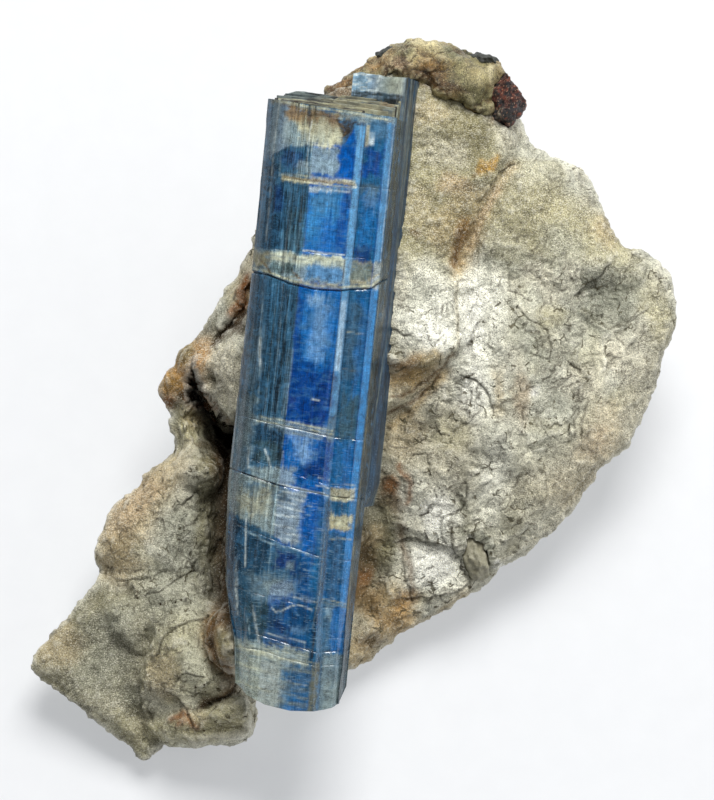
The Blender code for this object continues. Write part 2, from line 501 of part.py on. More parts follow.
def rear_blade(grow=0.0):
    """The blade grown against the back of the front one. It stands higher and ends a third of the way up."""
    section = grown_section(REAR_SECTION, grow)
    foot = [(a - 0.5, b, REAR_START + 0.9 * b / REAR_BACK - grow) for a, b in section]
    shoulder = [(a, b, REAR_START + 2.2) for a, b in section]
    top = [(a, b, REAR_END + grow) for a, b in section]
    return prism([foot, shoulder, top])


def end_plate_cutter(left_c, right_c, depth):
    """A block in front of and above one plate of the blade's top end."""
    ahead, overlap = 3.0, 2.0
    slope = (right_c - left_c) / BLADE_WIDTH
    left, right = -overlap, BLADE_WIDTH + overlap
    corners = [(left, depth), (right, depth), (right, ahead), (left, ahead)]
    bottom = [(a, b, left_c + slope * a - 0.05 * (b - depth)) for a, b in corners]
    top = [(a, b, BLADE_LENGTH + overlap) for a, b in corners]
    return prism([bottom, top])


def chip_cutter():
    """A wedge that takes the shallow chip off the front face, just under the top end."""
    bottom = [(2.4, 0.5, CHIP_LOW), (8.2, 0.5, CHIP_LOW), (8.2, 1.5, CHIP_LOW), (2.4, 1.5, CHIP_LOW)]
    top = [(2.6, -0.42, CHIP_HIGH), (8.9, -0.42, CHIP_HIGH), (8.9, 1.5, CHIP_HIGH), (2.6, 1.5, CHIP_HIGH)]
    return prism([bottom, top])


def knobs(grow=0.0):
    """The quartz knobs as overlapping balls, each a little uneven."""
    mesh = bmesh.new()
    for number, (x, y, z, half_x, half_y, half_z) in enumerate(QUARTZ_KNOBS):
        made = bmesh.ops.create_icosphere(mesh, subdivisions=3, radius=1.0)
        for vert in made["verts"]:
            out = vert.co.normalized()
            uneven = 1.0 + KNOB_UNEVENNESS * noise.noise(out * 1.6 + Vector((number * 3.1, 0, 0)))
            size = Vector((half_x, half_y, half_z)) * uneven + Vector((grow, grow, grow))
            vert.co = (Vector((x, y, z)) + Vector((out.x * size.x, out.y * size.y, out.z * size.z))) * MM
    return mesh


def faceted_grain(centre, half, turn, seed, cuts, grow=0.0):
    """A crystal grain: a ball cut by evenly spread flat faces, then stretched and turned."""
    mesh = bmesh.new()
    bmesh.ops.create_icosphere(mesh, subdivisions=3, radius=1.25)
    for number in range(cuts):
        height = 1.0 - 2.0 * (number + 0.5) / cuts
        around = number * FACE_TURN + seed
        flat = math.sqrt(1.0 - height * height)
        normal = Vector((flat * math.cos(around), flat * math.sin(around), height))
        reach = 0.92 + 0.08 * noise.noise(normal * 2.0 + Vector((seed, 0, 0)))
        cut = bmesh.ops.bisect_plane(
            mesh, geom=mesh.verts[:] + mesh.edges[:] + mesh.faces[:], plane_no=normal, plane_co=normal * reach,
            clear_outer=True,
        )
        rim_edges = [e for e in cut["geom_cut"] if isinstance(e, bmesh.types.BMEdge)]
        bmesh.ops.contextual_create(mesh, geom=rim_edges)
    bmesh.ops.dissolve_limit(mesh, angle_limit=math.radians(2), verts=mesh.verts, edges=mesh.edges)
    size = Vector(half) + Vector((grow, grow, grow))
    place = Matrix.Translation(Vector(centre) * MM) @ Matrix.Rotation(turn, 4, "Z")
    bmesh.ops.transform(mesh, matrix=place @ Matrix.Diagonal((*(size * MM), 1.0)), verts=mesh.verts)
    bmesh.ops.triangulate(mesh, faces=mesh.faces)
    bmesh.ops.recalc_face_normals(mesh, faces=mesh.faces)
    return mesh


def material(name, colour, roughness):
    """A plain finish for one mineral."""
    made = bpy.data.materials.new(name)
    made.use_nodes = True
    shader = made.node_tree.nodes["Principled BSDF"]
    shader.inputs["Base Color"].default_value = (*colour, 1.0)
    shader.inputs["Roughness"].default_value = roughness
    shader.inputs["Metallic"].default_value = 0.0
    made.diffuse_color = (*colour, 1.0)
    return made


def add(name, mesh, parent, finish=None, matrix=None):
    """An object from a mesh in the face frame. Without a finish it is a hidden helper."""
    data = bpy.data.meshes.new(name)
    mesh.to_mesh(data)
    mesh.free()
    item = bpy.data.objects.new(name, data)
    bpy.context.scene.collection.objects.link(item)
    item.parent = parent
    if matrix:
        item.matrix_local = matrix
    if finish:
        data.materials.append(finish)
    else:
        item.hide_render = True
        item.display_type = "WIRE"
    return item


def boolean(item, other, operation):
    """Joins another object to this one, or cuts it away."""
    modifier = item.modifiers.new(f"{operation.lower()}_{other.name}", "BOOLEAN")
    modifier.object = other
    modifier.operation = operation
    modifier.solver = "EXACT"


def voxels(item, size):
    """Melts overlapping balls into one skin."""
    modifier = item.modifiers.new("melt", "REMESH")
    modifier.mode = "VOXEL"
    modifier.voxel_size = size * MM
    modifier.adaptivity = 0.0


def build_blade(parent, finish):
    """The kyanite crystal, and the slightly larger shape that makes room for it."""
    place = blade_matrix()
    blade = add("kyanite_crystal", front_blade(), parent, finish, place)
    for number, plate in enumerate(END_PLATES):
        boolean(blade, add(f"end_cut_{number}", end_plate_cutter(*plate), parent, None, place), "DIFFERENCE")
    boolean(blade, add("rear_blade", rear_blade(), parent, None, place), "UNION")
    boolean(blade, add("chip_cut", chip_cutter(), parent, None, place), "DIFFERENCE")
    room = add("blade_room", front_blade(JOINT_GAP), parent, None, place)
    boolean(room, add("rear_room", rear_blade(JOINT_GAP), parent, None, place), "UNION")
    return blade, room


def build_grain(name, centre, half, turn, seed, cuts, parent, finish):
    """One grain and the room for it."""
    grain = add(name, faceted_grain(centre, half, turn, seed, cuts), parent, finish)
    room = add(f"{name}_room", faceted_grain(centre, half, turn, seed, cuts, JOINT_GAP), parent)
    return grain, room


def stand_on_origin(root, items):
    """Moves the specimen so that the origin is at the bottom centre of its box."""
    bpy.context.view_layer.update()
    graph = bpy.context.evaluated_depsgraph_get()
    corners = []
    for item in items:
        evaluated = item.evaluated_get(graph)
        mesh = evaluated.to_mesh()
        corners += [evaluated.matrix_world @ v.co for v in mesh.vertices]
        evaluated.to_mesh_clear()
    for axis in (0, 1):
        low, high = min(c[axis] for c in corners), max(c[axis] for c in corners)
        root.location[axis] -= (low + high) / 2


def main():
    for item in list(bpy.data.objects):
        bpy.data.objects.remove(item)
    root = bpy.data.objects.new("specimen", None)
    bpy.context.scene.collection.objects.link(root)
    root.rotation_euler = (LEAN, 0, 0)
    root.location = (0, 0, FACE_HEIGHT * MM)

    schist = material("mica_schist", (0.36, 0.33, 0.26), 0.6)
    kyanite = material("kyanite", (0.06, 0.16, 0.42), 0.15)
    quartz = material("quartz", (0.5, 0.42, 0.28), 0.45)
    red = material("garnet", (0.09, 0.025, 0.02), 0.35)
    brown = material("brown_grain", (0.25, 0.22, 0.17), 0.6)
    black = material("black_grain", (0.03, 0.035, 0.035), 0.4)

    blade, blade_room = build_blade(root, kyanite)
    garnet, garnet_room = build_grain("garnet", GARNET_CENTRE, GARNET_HALF, GARNET_TURN, 0.4, 22, root, red)
    grain, grain_room = build_grain("brown_grain", GRAIN_CENTRE, GRAIN_HALF, GRAIN_TURN, 1.7, 18, root, brown)

    black_grains = []
    black_rooms = []
    for number, (centre, half, turn) in enumerate(BLACK_GRAINS):
        made = build_grain(f"black_grain_{number + 1}", centre, half, turn, 2.3 + number, 16, root, black)
        black_grains.append(made[0])
        black_rooms.append(made[1])

    cap = add("quartz_cap", knobs(), root, quartz)
    voxels(cap, KNOB_VOXEL)
    cap_room = add("cap_room", knobs(JOINT_GAP), root)
    voxels(cap_room, KNOB_VOXEL)
    for room in (blade_room, garnet_room, *black_rooms):
        boolean(cap, room, "DIFFERENCE")

    slab = add("schist_slab", slab_mesh(), root, schist)
    for room in (cap_room, blade_room, garnet_room, grain_room, *black_rooms):
        boolean(slab, room, "DIFFERENCE")
    stand_on_origin(root, (slab, blade, cap, garnet, grain, *black_grains))


main()
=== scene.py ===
"""The looks of the kyanite specimen: the blue blade, the silvery mica schist, its quartz, garnet and grains.

The CAD solids are dressed in detailed meshes with procedural materials. Shapes are drawn face on in
millimetres, with x to the right, y up along the face and z out of the face, as in the CAD. The blade has a
frame of its own: a across it, b out of its front face and c along its length.
"""

import math
from itertools import product

import bmesh
import bpy
import numpy as np
from mathutils import Matrix, Vector
from mathutils.bvhtree import BVHTree


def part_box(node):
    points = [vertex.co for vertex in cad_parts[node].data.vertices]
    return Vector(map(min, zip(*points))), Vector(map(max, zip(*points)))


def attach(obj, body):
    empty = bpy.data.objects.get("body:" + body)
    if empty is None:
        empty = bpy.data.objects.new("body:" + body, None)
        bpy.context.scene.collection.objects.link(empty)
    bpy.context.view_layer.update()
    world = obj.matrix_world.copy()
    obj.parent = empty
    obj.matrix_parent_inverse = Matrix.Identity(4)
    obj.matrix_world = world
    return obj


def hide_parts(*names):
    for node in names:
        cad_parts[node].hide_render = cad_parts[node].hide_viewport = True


MM = 0.001
LEAN = math.radians(15)  # the face leans back from flat by this much
FACE_ORIGIN = (0.1, -0.536, 14.5)  # where the face frame stands in the CAD frame
FACE = Matrix.Translation(Vector(FACE_ORIGIN) * MM) @ Matrix.Rotation(LEAN, 4, "X")

# The photograph is taken straight down on the face, 80 mm of it from top to bottom
PHOTO_HEIGHT = 80.0
LENS = 250.0
SENSOR = 36.0

FLOOR_REACH = 1.5  # metres from the middle to each edge
FLOOR_GLOW = 0.42  # the paper is lit a little from below, so that the shadows on it stay pale
LIT_PLACE = (0, 0, 0.012)  # metres: what the lights are turned to
DARK_STUDIO = (-0.45, -0.22, 0.87)  # the way in which the studio is darker, above the face and to its left

# The size in mm of the faces that each mineral is remeshed to
ROCK_VOXEL = 0.49
QUARTZ_VOXEL = 0.2
GARNET_VOXEL = 0.13
BLACK_VOXEL = 0.12
BROWN_VOXEL = 0.14

# In mm: how near to a crack the rock's faces are cut finer, how near to another mineral a surface touches it,
# and how near it starts to be drawn there
CRACK_REACH = 0.28
TOUCH_NEAR, TOUCH_FAR = 0.42, 0.8

FRONT_FACING = 0.25  # faces count as the rock's front where their normals point this much out of the face
SHARP_EDGE = math.radians(28)  # sharper edges of the crystal aren't shaded smooth
DETAIL_OFF = 0.12  # mm between the two places where a slope is measured

# Odd numbers that mix a place's three whole numbers, its seed and the result into chance
PLACE_MIXERS = (73856093, 19349663, 83492791)
SEED_MIXER = 2654435761
ROUND_MIXER = 1274126177
LOW_BITS = 0xFFFFFFFF
OCTAVE_SHIFT = 11.7  # moves each octave of noise off the one before
ROUGH_REACH = 0.6  # how far from 0 one octave of noise mostly gets
MIDDLE = (0.5, 0.5, 0.5)  # the average random colour

# The blade's frame, as in the CAD, and its outline, which is the CAD's with small corrections
BLADE_START = (-14.7, -30.0, 9.2)
BLADE_TURN = math.radians(5.8)
BLADE_RISE = math.radians(1.2)
BLADE_WIDTH = 13.4
BLADE_BACK = -4.5
BLADE_SIDES = -1.7  # b at which the front ends and the sides begin
HIDDEN_A, HIDDEN_C = (1.0, 12.2), (2.0, 60.0)  # where the blade hides the rock
REAR_BACK = -8.0
REAR_START, REAR_END = 20.0, 63.5
PLATES_FOOT = 57.0  # c, inside the blade
REAR_ROWS = [*np.linspace(0, 0.94, 110), *np.linspace(0.945, 1, 22)]  # up its length, closer at the top

# Across the front and the rear blade, as a and b, from the left edge over the front face and round the back
BLADE_SECTION = [
    (-0.2, -2.3), (0.0, -1.6), (0.85, -0.9), (1.7, -0.4), (2.7, -0.22), (3.9, -0.1), (5.1, 0.0), (7.0, 0.02),
    (9.0, 0.0), (9.75, -0.72), (10.8, -0.8), (11.85, -0.9), (12.6, -1.6), (12.85, -2.5), (13.1, -3.5),
    (BLADE_WIDTH, BLADE_BACK), (9.0, BLADE_BACK - 0.05), (5.0, BLADE_BACK - 0.05), (1.3, BLADE_BACK),
    (0.2, -3.4),
]
REAR_SECTION = [
    (8.0, -4.2), (12.4, -2.9), (13.4, -4.6), (14.7, REAR_BACK), (11.6, REAR_BACK - 0.15), (8.4, REAR_BACK),
]

# How the blade's left edge closes in towards its foot, and its back comes forward: c, least a, back b
LOWER_TAPER = [
    (0.0, 3.3, -3.1), (2.3, 2.6, -3.2), (6.5, 2.1, -3.5), (9.1, 1.3, -3.9), (11.9, 0.6, -4.3),
    (15.0, 0.35, BLADE_BACK), (22.0, 0.0, BLADE_BACK),
]

# The uneven ends, as a and c
BLADE_FOOT = [
    (0.0, 2.3), (1.1, 1.3), (3.2, 0.6), (6.5, 0.25), (9.4, 0.45), (11.8, 0.9), (12.7, 1.35), (13.3, 3.0),
]
BLADE_TOP = [(0.0, 59.95), (4.0, 59.7), (9.0, 59.45), (12.4, 59.35), (13.4, 59.1)]

# Between the points of the sections and of the rows up the blade, in mm
FACE_SPACING, SIDE_SPACING, BACK_SPACING = 0.11, 0.15, 0.8
ROW_SPACING = 0.17
REAR_SEEN = 12.0  # the rear blade can be seen past the front one beyond this a
REAR_SEEN_SPACING, REAR_SPACING = 0.15, 0.22
PLATE_SPACING = 0.12

# Breaks across the blade, from its foot up: the line as a and c, its depth, its width, and the step above it
BREAKS = [
    ([(3.0, 5.9), (6.0, 5.3), (9.0, 4.9), (13.4, 5.2)], 0.04, 0.10, 0.00),
    ([(1.5, 7.6), (5.0, 7.0), (9.0, 6.2), (13.4, 6.6)], 0.06, 0.12, 0.03),
    ([(1.0, 8.9), (5.0, 8.2), (9.0, 7.6), (13.4, 7.9)], 0.03, 0.10, -0.02),
    ([(0.0, 11.9), (4.0, 11.2), (9.0, 10.6), (13.4, 10.9)], 0.03, 0.08, 0.02),
    ([(0.0, 18.2), (4.0, 17.0), (9.0, 15.6), (13.4, 15.4)], 0.03, 0.08, 0.02),
    ([(0.0, 23.3), (4.7, 22.2), (8.6, 21.8), (9.9, 21.6), (13.4, 21.6)], 0.13, 0.14, 0.05),
    ([(0.0, 24.9), (4.0, 24.0), (8.6, 22.9), (9.9, 22.7), (13.4, 22.6)], 0.04, 0.10, -0.02),
    ([(0.6, 28.6), (4.0, 28.1), (9.9, 27.4), (13.4, 27.4)], 0.05, 0.10, 0.03),
    ([(0.0, 42.8), (1.7, 42.65), (3.9, 42.0), (6.3, 41.7), (8.8, 41.8), (9.8, 42.0), (11.9, 42.3),
      (12.9, 43.2), (13.4, 43.5)], 0.20, 0.16, 0.05),
    ([(0.0, 45.2), (4.9, 45.3), (9.3, 45.2), (13.4, 45.3)], 0.04, 0.14, 0.01),
    ([(0.0, 52.4), (5.0, 52.2), (9.0, 52.2), (13.4, 52.3)], 0.03, 0.14, 0.02),
]

# Plates that stand up behind the blade's front face at its top end:
# left and right a, front and back b, colour, then points of the broken top edge as a and c
END_PLATES = [
    (2.90, 9.25, -0.22, -0.52, "reed", [(2.9, 59.88), (5.0, 59.82), (7.0, 59.7), (9.25, 59.6)]),
    (1.20, 9.50, -0.85, -1.00, "umber", [(1.2, 59.98), (4.0, 60.0), (6.5, 59.85), (9.5, 59.72)]),
    (0.90, 11.80, -1.10, -1.35, "straw", [(0.9, 60.12), (3.0, 60.2), (6.0, 60.08), (9.0, 60.0),
                                          (11.8, 59.85)]),
    (0.55, 12.20, -1.50, -1.62, "char", [(0.55, 60.1), (4.0, 60.28), (8.0, 60.16), (12.2, 60.02)]),
    (6.30, 12.45, -1.75, -2.20, "reed", [(6.3, 60.38), (6.7, 60.5), (9.5, 60.45), (12.45, 60.3)]),
    (0.80, 6.10, -1.75, -2.20, "gravel", [(0.8, 60.2), (1.5, 60.42), (4.4, 60.45), (6.1, 60.3)]),
    (0.70, 12.60, -2.30, -2.45, "char", [(0.7, 60.4), (4.0, 60.5), (8.0, 60.55), (12.6, 60.45)]),
    (6.45, 12.75, -2.55, -3.10, "straw", [(6.45, 60.6), (6.8, 60.78), (9.5, 60.75), (12.75, 60.66)]),
    (1.40, 6.25, -2.55, -3.10, "flint", [(1.4, 60.55), (1.9, 60.74), (4.5, 60.78), (6.25, 60.62)]),
    (1.50, 12.85, -3.20, -3.35, "char", [(1.5, 60.7), (6.0, 60.85), (12.85, 60.8)]),
    (6.75, 12.95, -3.50, -4.42, "reed", [(6.75, 60.85), (7.1, 61.02), (10.0, 61.06), (12.95, 61.0)]),
    (1.90, 6.60, -3.50, -4.42, "flint", [(1.9, 60.8), (2.5, 61.04), (5.0, 61.02), (6.6, 60.85)]),
]

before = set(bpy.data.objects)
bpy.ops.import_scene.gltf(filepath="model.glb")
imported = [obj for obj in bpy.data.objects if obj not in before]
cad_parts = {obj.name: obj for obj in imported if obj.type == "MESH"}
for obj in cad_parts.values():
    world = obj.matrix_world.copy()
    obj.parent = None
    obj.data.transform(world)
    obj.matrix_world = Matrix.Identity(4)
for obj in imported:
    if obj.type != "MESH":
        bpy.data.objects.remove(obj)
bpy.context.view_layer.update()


# Numbers in space


def chance(x, y, z, seed):
    """A repeatable random number from 0 to 1 for each whole-numbered place."""
    mixed = np.uint64(seed * SEED_MIXER % 2**32)
    for value, mixer in zip((x, y, z), PLACE_MIXERS):
        mixed = mixed ^ (value.astype(np.uint64) * np.uint64(mixer))
    for shift in (13, 17, 15):
        mixed = (mixed ^ (mixed >> np.uint64(shift))) * np.uint64(ROUND_MIXER) & np.uint64(LOW_BITS)
    return mixed.astype(float) / LOW_BITS


def rough(points, size, seed, octaves=1):
    """Smooth unevenness from about -1 to 1, in lumps of the given size."""
    points = np.asarray(points, float) / np.asarray(size, float)
    total, share, whole = np.zeros(len(points)), 1.0, 0.0
    for octave in range(octaves):
        place = points * 2.0**octave + OCTAVE_SHIFT * octave
        corner = np.floor(place)
        part = place - corner
        part = part * part * part * (part * (part * 6 - 15) + 10)
        corner = corner.astype(np.int64)
        value = np.zeros(len(points))
        for step in product((0, 1), repeat=3):
            weight = np.ones(len(points))
            for axis, up in enumerate(step):
                weight *= part[:, axis] if up else 1 - part[:, axis]
            value += weight * chance(*(corner + step).T, seed + octave)
        total += share * (value * 2 - 1)
        whole += share * ROUGH_REACH
        share *= 0.5
    return total / whole


def cells(points, size, seed):
    """Around strewn seeds: distance to the nearest, gap to the second nearest, and the nearest's number."""
    points = np.asarray(points, float) / np.asarray(size, float)
    corner = np.floor(points).astype(np.int64)
    first = np.full(len(points), 9.0)
    second = np.full(len(points), 9.0)
    number = np.zeros(len(points))
    for step in product((-1, 0, 1), repeat=3):
        place = (corner + step).T
        seeds = np.stack([place[k] + chance(*place, seed + k) for k in range(3)], axis=1)
        far = np.linalg.norm(points - seeds, axis=1)
        nearer = far < first
        second = np.where(nearer, first, np.minimum(second, far))
        number = np.where(nearer, chance(*place, seed + 3), number)
        first = np.where(nearer, far, first)
    return first, second - first, number


def ramp(value, low, high):
    """0 below low, 1 above high, smooth between. Falls instead where low is above high."""
    share = np.clip((value - low) / (high - low), 0, 1)
    return share * share * (3 - 2 * share)


def terraces(value, step, sharpness=0.75):
    """Stairs: flat treads with a short riser, as cleaved mica breaks."""
    level = np.floor(value / step)
    return (level + ramp(value / step - level, sharpness, 1.0)) * step


def ledges(points, size, seed, step):
    """Curved ledges of loose flakes: the height of each point, and its distance from the nearest ledge."""
    value = rough(points, size, seed, 3)
    steps = DETAIL_OFF * np.eye(3)[:2]
    steep = [(rough(points + step, size, seed, 3) - value) / DETAIL_OFF for step in steps]
    part = value / step - np.floor(value / step)
    away = np.minimum(part, 1 - part) * step / np.maximum(np.hypot(*steep), 0.05)
    return terraces(value, step, 0.8), away


def shaken(points, size, amount, seed, octaves=2):
    """Points moved about a little, so that what is drawn on them gets uneven edges."""
    off = [rough(points, size, seed + k, octaves) for k in range(points.shape[1])]
    return points + np.stack(off, axis=1) * amount


def line_distance(points, line):
    """Distance in the first two axes to a line, and the side of it that the point is on: 1 left, -1 right."""
    best = np.full(len(points), 1e9)
    side = np.ones(len(points))
    flat = points[:, :2]
    for start, end in zip(np.array(line[:-1]), np.array(line[1:])):
        along = end - start
        share = np.clip((flat - start) @ along / (along @ along), 0, 1)
        off = flat - start - share[:, None] * along
        far = np.hypot(off[:, 0], off[:, 1])
        turn = np.where(along[0] * off[:, 1] - along[1] * off[:, 0] >= 0, 1.0, -1.0)
        side = np.where(far < best, turn, side)
        best = np.minimum(best, far)
    return best, side


def stroke(points, width, line):
    """1 on a drawn line, falling to 0 about a width away."""
    near, _ = line_distance(points, line)
    return np.exp(-((near / width) ** 2))


def spot(points, centre, half, turn=0.0):
    """1 inside an oval patch, falling to 0 outside it. The turn is in degrees."""
    angle = math.radians(turn)
    dx, dy = points[:, 0] - centre[0], points[:, 1] - centre[1]
    u = (dx * math.cos(angle) + dy * math.sin(angle)) / half[0]
    v = (-dx * math.sin(angle) + dy * math.cos(angle)) / half[1]
    return np.exp(-((u * u + v * v) ** 2) * 0.7)


def pushed(points, pushes):
    """Points moved along the face by pushes: how far, then an oval patch."""
    points = points.copy()
    for shift, *where in pushes:
        points[:, :2] += spot(points, *where)[:, None] * shift
    return points


def inside(points, corners, soft):
    """1 inside a flat shape and 0 outside, over a soft edge."""
    ring = corners + corners[:1]
    near, _ = line_distance(points, ring)
    within = np.zeros(len(points), bool)
    for (x0, y0), (x1, y1) in zip(ring, ring[1:]):
        if y0 != y1:
            crossed = (y0 > points[:, 1]) != (y1 > points[:, 1])
            within ^= crossed & (points[:, 0] < x0 + (points[:, 1] - y0) * (x1 - x0) / (y1 - y0))
    return ramp(np.where(within, near, -near), -soft, soft)


def box(left, right, low, high):
    """Corners of an upright rectangle."""
    return [(left, low), (right, low), (right, high), (left, high)]


# Colours


def seen(red, green, blue):
    """A colour from 0 to 255, as the eye reads it, as linear light."""
    values = np.array([red, green, blue]) / 255
    return np.where(values <= 0.04045, values / 12.92, ((values + 0.055) / 1.055) ** 2.4)


def palette(**colours):
    """Named colours as linear light."""
    return {name: seen(*colour) for name, colour in colours.items()}


def coat(colour, points):
    """One colour at every point."""
    return np.tile(colour, (len(points), 1))


def blend(colour, share, other):
    """Mixes another colour into the rows of colour, each row by its own share."""
    colour += (other - colour) * np.clip(share, 0, 1)[:, None]


def layered(colour, names, *layers):
    """Blends layers over the colour one after another, each a share and the name of its colour."""
    for share, name in layers:
        blend(colour, share, names[name])


def dabbed(colour, names, points, tints):
    """Blends oval patches over the colour one after another."""
    for name, amount, *where in tints:
        blend(colour, amount * spot(points, *where), names[name])


# Meshes


def to_face(points, matrix=FACE):
    """World points in metres as millimetres in the face frame, or in the frame of another matrix."""
    inverse = np.array(matrix.inverted())
    return (np.asarray(points, float) @ inverse[:3, :3].T + inverse[:3, 3]) / MM


def to_world(points, matrix=FACE):
    """Millimetres in the face frame, or in that of another matrix, as world points in metres."""
    forward = np.array(matrix)
    return np.asarray(points, float) * MM @ forward[:3, :3].T + forward[:3, 3]


def blade_frame():
    """From the blade's own frame to the world."""
    turn = Matrix.Rotation(-BLADE_TURN, 4, "Z") @ Matrix.Rotation(BLADE_RISE, 4, "X")
    own = Matrix(((1, 0, 0, 0), (0, 0, 1, 0), (0, 1, 0, 0), (0, 0, 0, 1)))
    return FACE @ Matrix.Translation(Vector(BLADE_START) * MM) @ turn @ own


def read(mesh, kind="vertices", name="co"):
    """Points or normals of a mesh as an array."""
    source = getattr(mesh, kind)
    values = np.empty(len(source) * 3, np.float32)
    source.foreach_get(name, values)
    return values.reshape(-1, 3).astype(float)


def face_points(mesh):
    """Vertices of a mesh in the face frame."""
    return to_face(read(mesh))


def blade_points(mesh):
    """Vertices of a mesh in the blade's frame."""
    return to_face(read(mesh), blade_frame())


def face_normals(mesh):
    """Vertex normals of a mesh, turned into the face frame."""
    return read(mesh, "vertex_normals", "vector") @ np.array(FACE.to_3x3())


def move(mesh, points):
    """Puts a mesh's vertices at these points of the face frame."""
    mesh.vertices.foreach_set("co", to_world(points).astype(np.float32).ravel())
    mesh.update()


def edges_of(mesh):
    pairs = np.empty(len(mesh.edges) * 2, np.int32)
    mesh.edges.foreach_get("vertices", pairs)
    return pairs.reshape(-1, 2)


def relaxed(points, pairs, rounds, strength):
    """Points eased towards the middle of their neighbours, each by its own strength."""
    count = np.maximum(np.bincount(pairs.ravel(), minlength=len(points)), 1)
    strength = np.broadcast_to(strength, len(points))[:, None]
    for _ in range(rounds):
        total = np.zeros_like(points)
        for axis in range(3):
            total[:, axis] = np.bincount(pairs[:, 0], points[pairs[:, 1], axis], len(points))
            total[:, axis] += np.bincount(pairs[:, 1], points[pairs[:, 0], axis], len(points))
        points = points + (total / count[:, None] - points) * strength
    return points


def hollows(points, pairs, normals, depth):
    """1 down in hollows of this depth in mm, -1 on an edge that stands out as far, 0 on level ground. The
    materials use it to paint shade into the hollows and a highlight onto the edges.
    """
    eased = relaxed(points, pairs, 6, 0.5)
    return np.clip(((eased - points) * normals).sum(axis=1) / depth, -1, 1)


def new_piece(name, mesh, node, material, sharp=None):
    """A smooth object that rides on the root body and stands for a CAD node."""
    mesh.shade_smooth()
    if sharp:
        mesh.set_sharp_from_angle(angle=sharp)
    mesh.materials.append(material)
    item = bpy.data.objects.new(name, mesh)
    bpy.context.scene.collection.objects.link(item)
    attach(item, "root")
    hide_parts(node)


def solid_copy(node):
    """The mesh of a CAD node with its split corners joined again."""
    own = bmesh.new()
    own.from_mesh(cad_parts[node].data)
    bmesh.ops.remove_doubles(own, verts=own.verts, dist=0.001 * MM)
    mesh = bpy.data.meshes.new(f"{node}_copy")
    own.to_mesh(mesh)
    own.free()
    mesh.materials.clear()
    return mesh


def even_mesh(mesh, size):
    """The same solid as an even mesh of small faces."""
    holder = bpy.data.objects.new("even", mesh)
    bpy.context.scene.collection.objects.link(holder)
    modifier = holder.modifiers.new("even", "REMESH")
    modifier.mode = "VOXEL"
    modifier.voxel_size = size * MM
    modifier.adaptivity = 0.0
    graph = bpy.context.evaluated_depsgraph_get()
    made = bpy.data.meshes.new_from_object(holder.evaluated_get(graph))
    bpy.data.objects.remove(holder)
    return made


def refined(mesh, chosen):
    """Cuts the chosen faces into four. chosen is a function of face centres and normals."""
    keep = chosen(read(mesh, "polygons", "center"), read(mesh, "polygons", "normal"))
    own = bmesh.new()
    own.from_mesh(mesh)
    own.faces.ensure_lookup_table()
    edges = {edge for index in np.nonzero(keep)[0] for edge in own.faces[index].edges}
    bmesh.ops.subdivide_edges(own, edges=sorted(edges, key=lambda e: e.index), cuts=1, use_grid_fill=True)
    closed_mesh(own, mesh)


def closed_mesh(own, mesh):
    """Writes a bmesh to a mesh with its many-sided faces cut up and all faces pointing out."""
    bmesh.ops.triangulate(own, faces=[f for f in own.faces if len(f.verts) > 4])
    bmesh.ops.recalc_face_normals(own, faces=own.faces)
    own.to_mesh(mesh)
    own.free()


def paint(mesh, **layers):
    """Keeps numbers or vectors at each vertex for the material to read, under the names of the layers."""
    for name, values in layers.items():
        values = np.asarray(values, np.float32)
        kind, field = ("FLOAT", "value") if values.ndim == 1 else ("FLOAT_VECTOR", "vector")
        mesh.attributes.new(name, kind, "POINT").data.foreach_set(field, values.ravel())


def grown_against(points, neighbours):
    """Points that are close to another mineral, moved until they touch it."""
    points = points.copy()
    for node in neighbours:
        low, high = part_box(node)
        corners = to_face(list(product((low.x, high.x), (low.y, high.y), (low.z, high.z))))
        near = np.all((points > corners.min(0) - TOUCH_FAR) & (points < corners.max(0) + TOUCH_FAR), axis=1)
        other = solid_copy(node)
        faces = [face.vertices[:] for face in other.polygons]
        tree = BVHTree.FromPolygons([vertex.co[:] for vertex in other.vertices], faces)
        index = np.nonzero(near)[0]
        for number, place in zip(index, to_world(points[index])):
            foot, _, _, away = tree.find_nearest(Vector(place), TOUCH_FAR * MM)
            if foot is not None:
                share = float(ramp(away / MM, TOUCH_FAR, TOUCH_NEAR))
                points[number] += (to_face([foot])[0] - points[number]) * share
    return points


# Materials


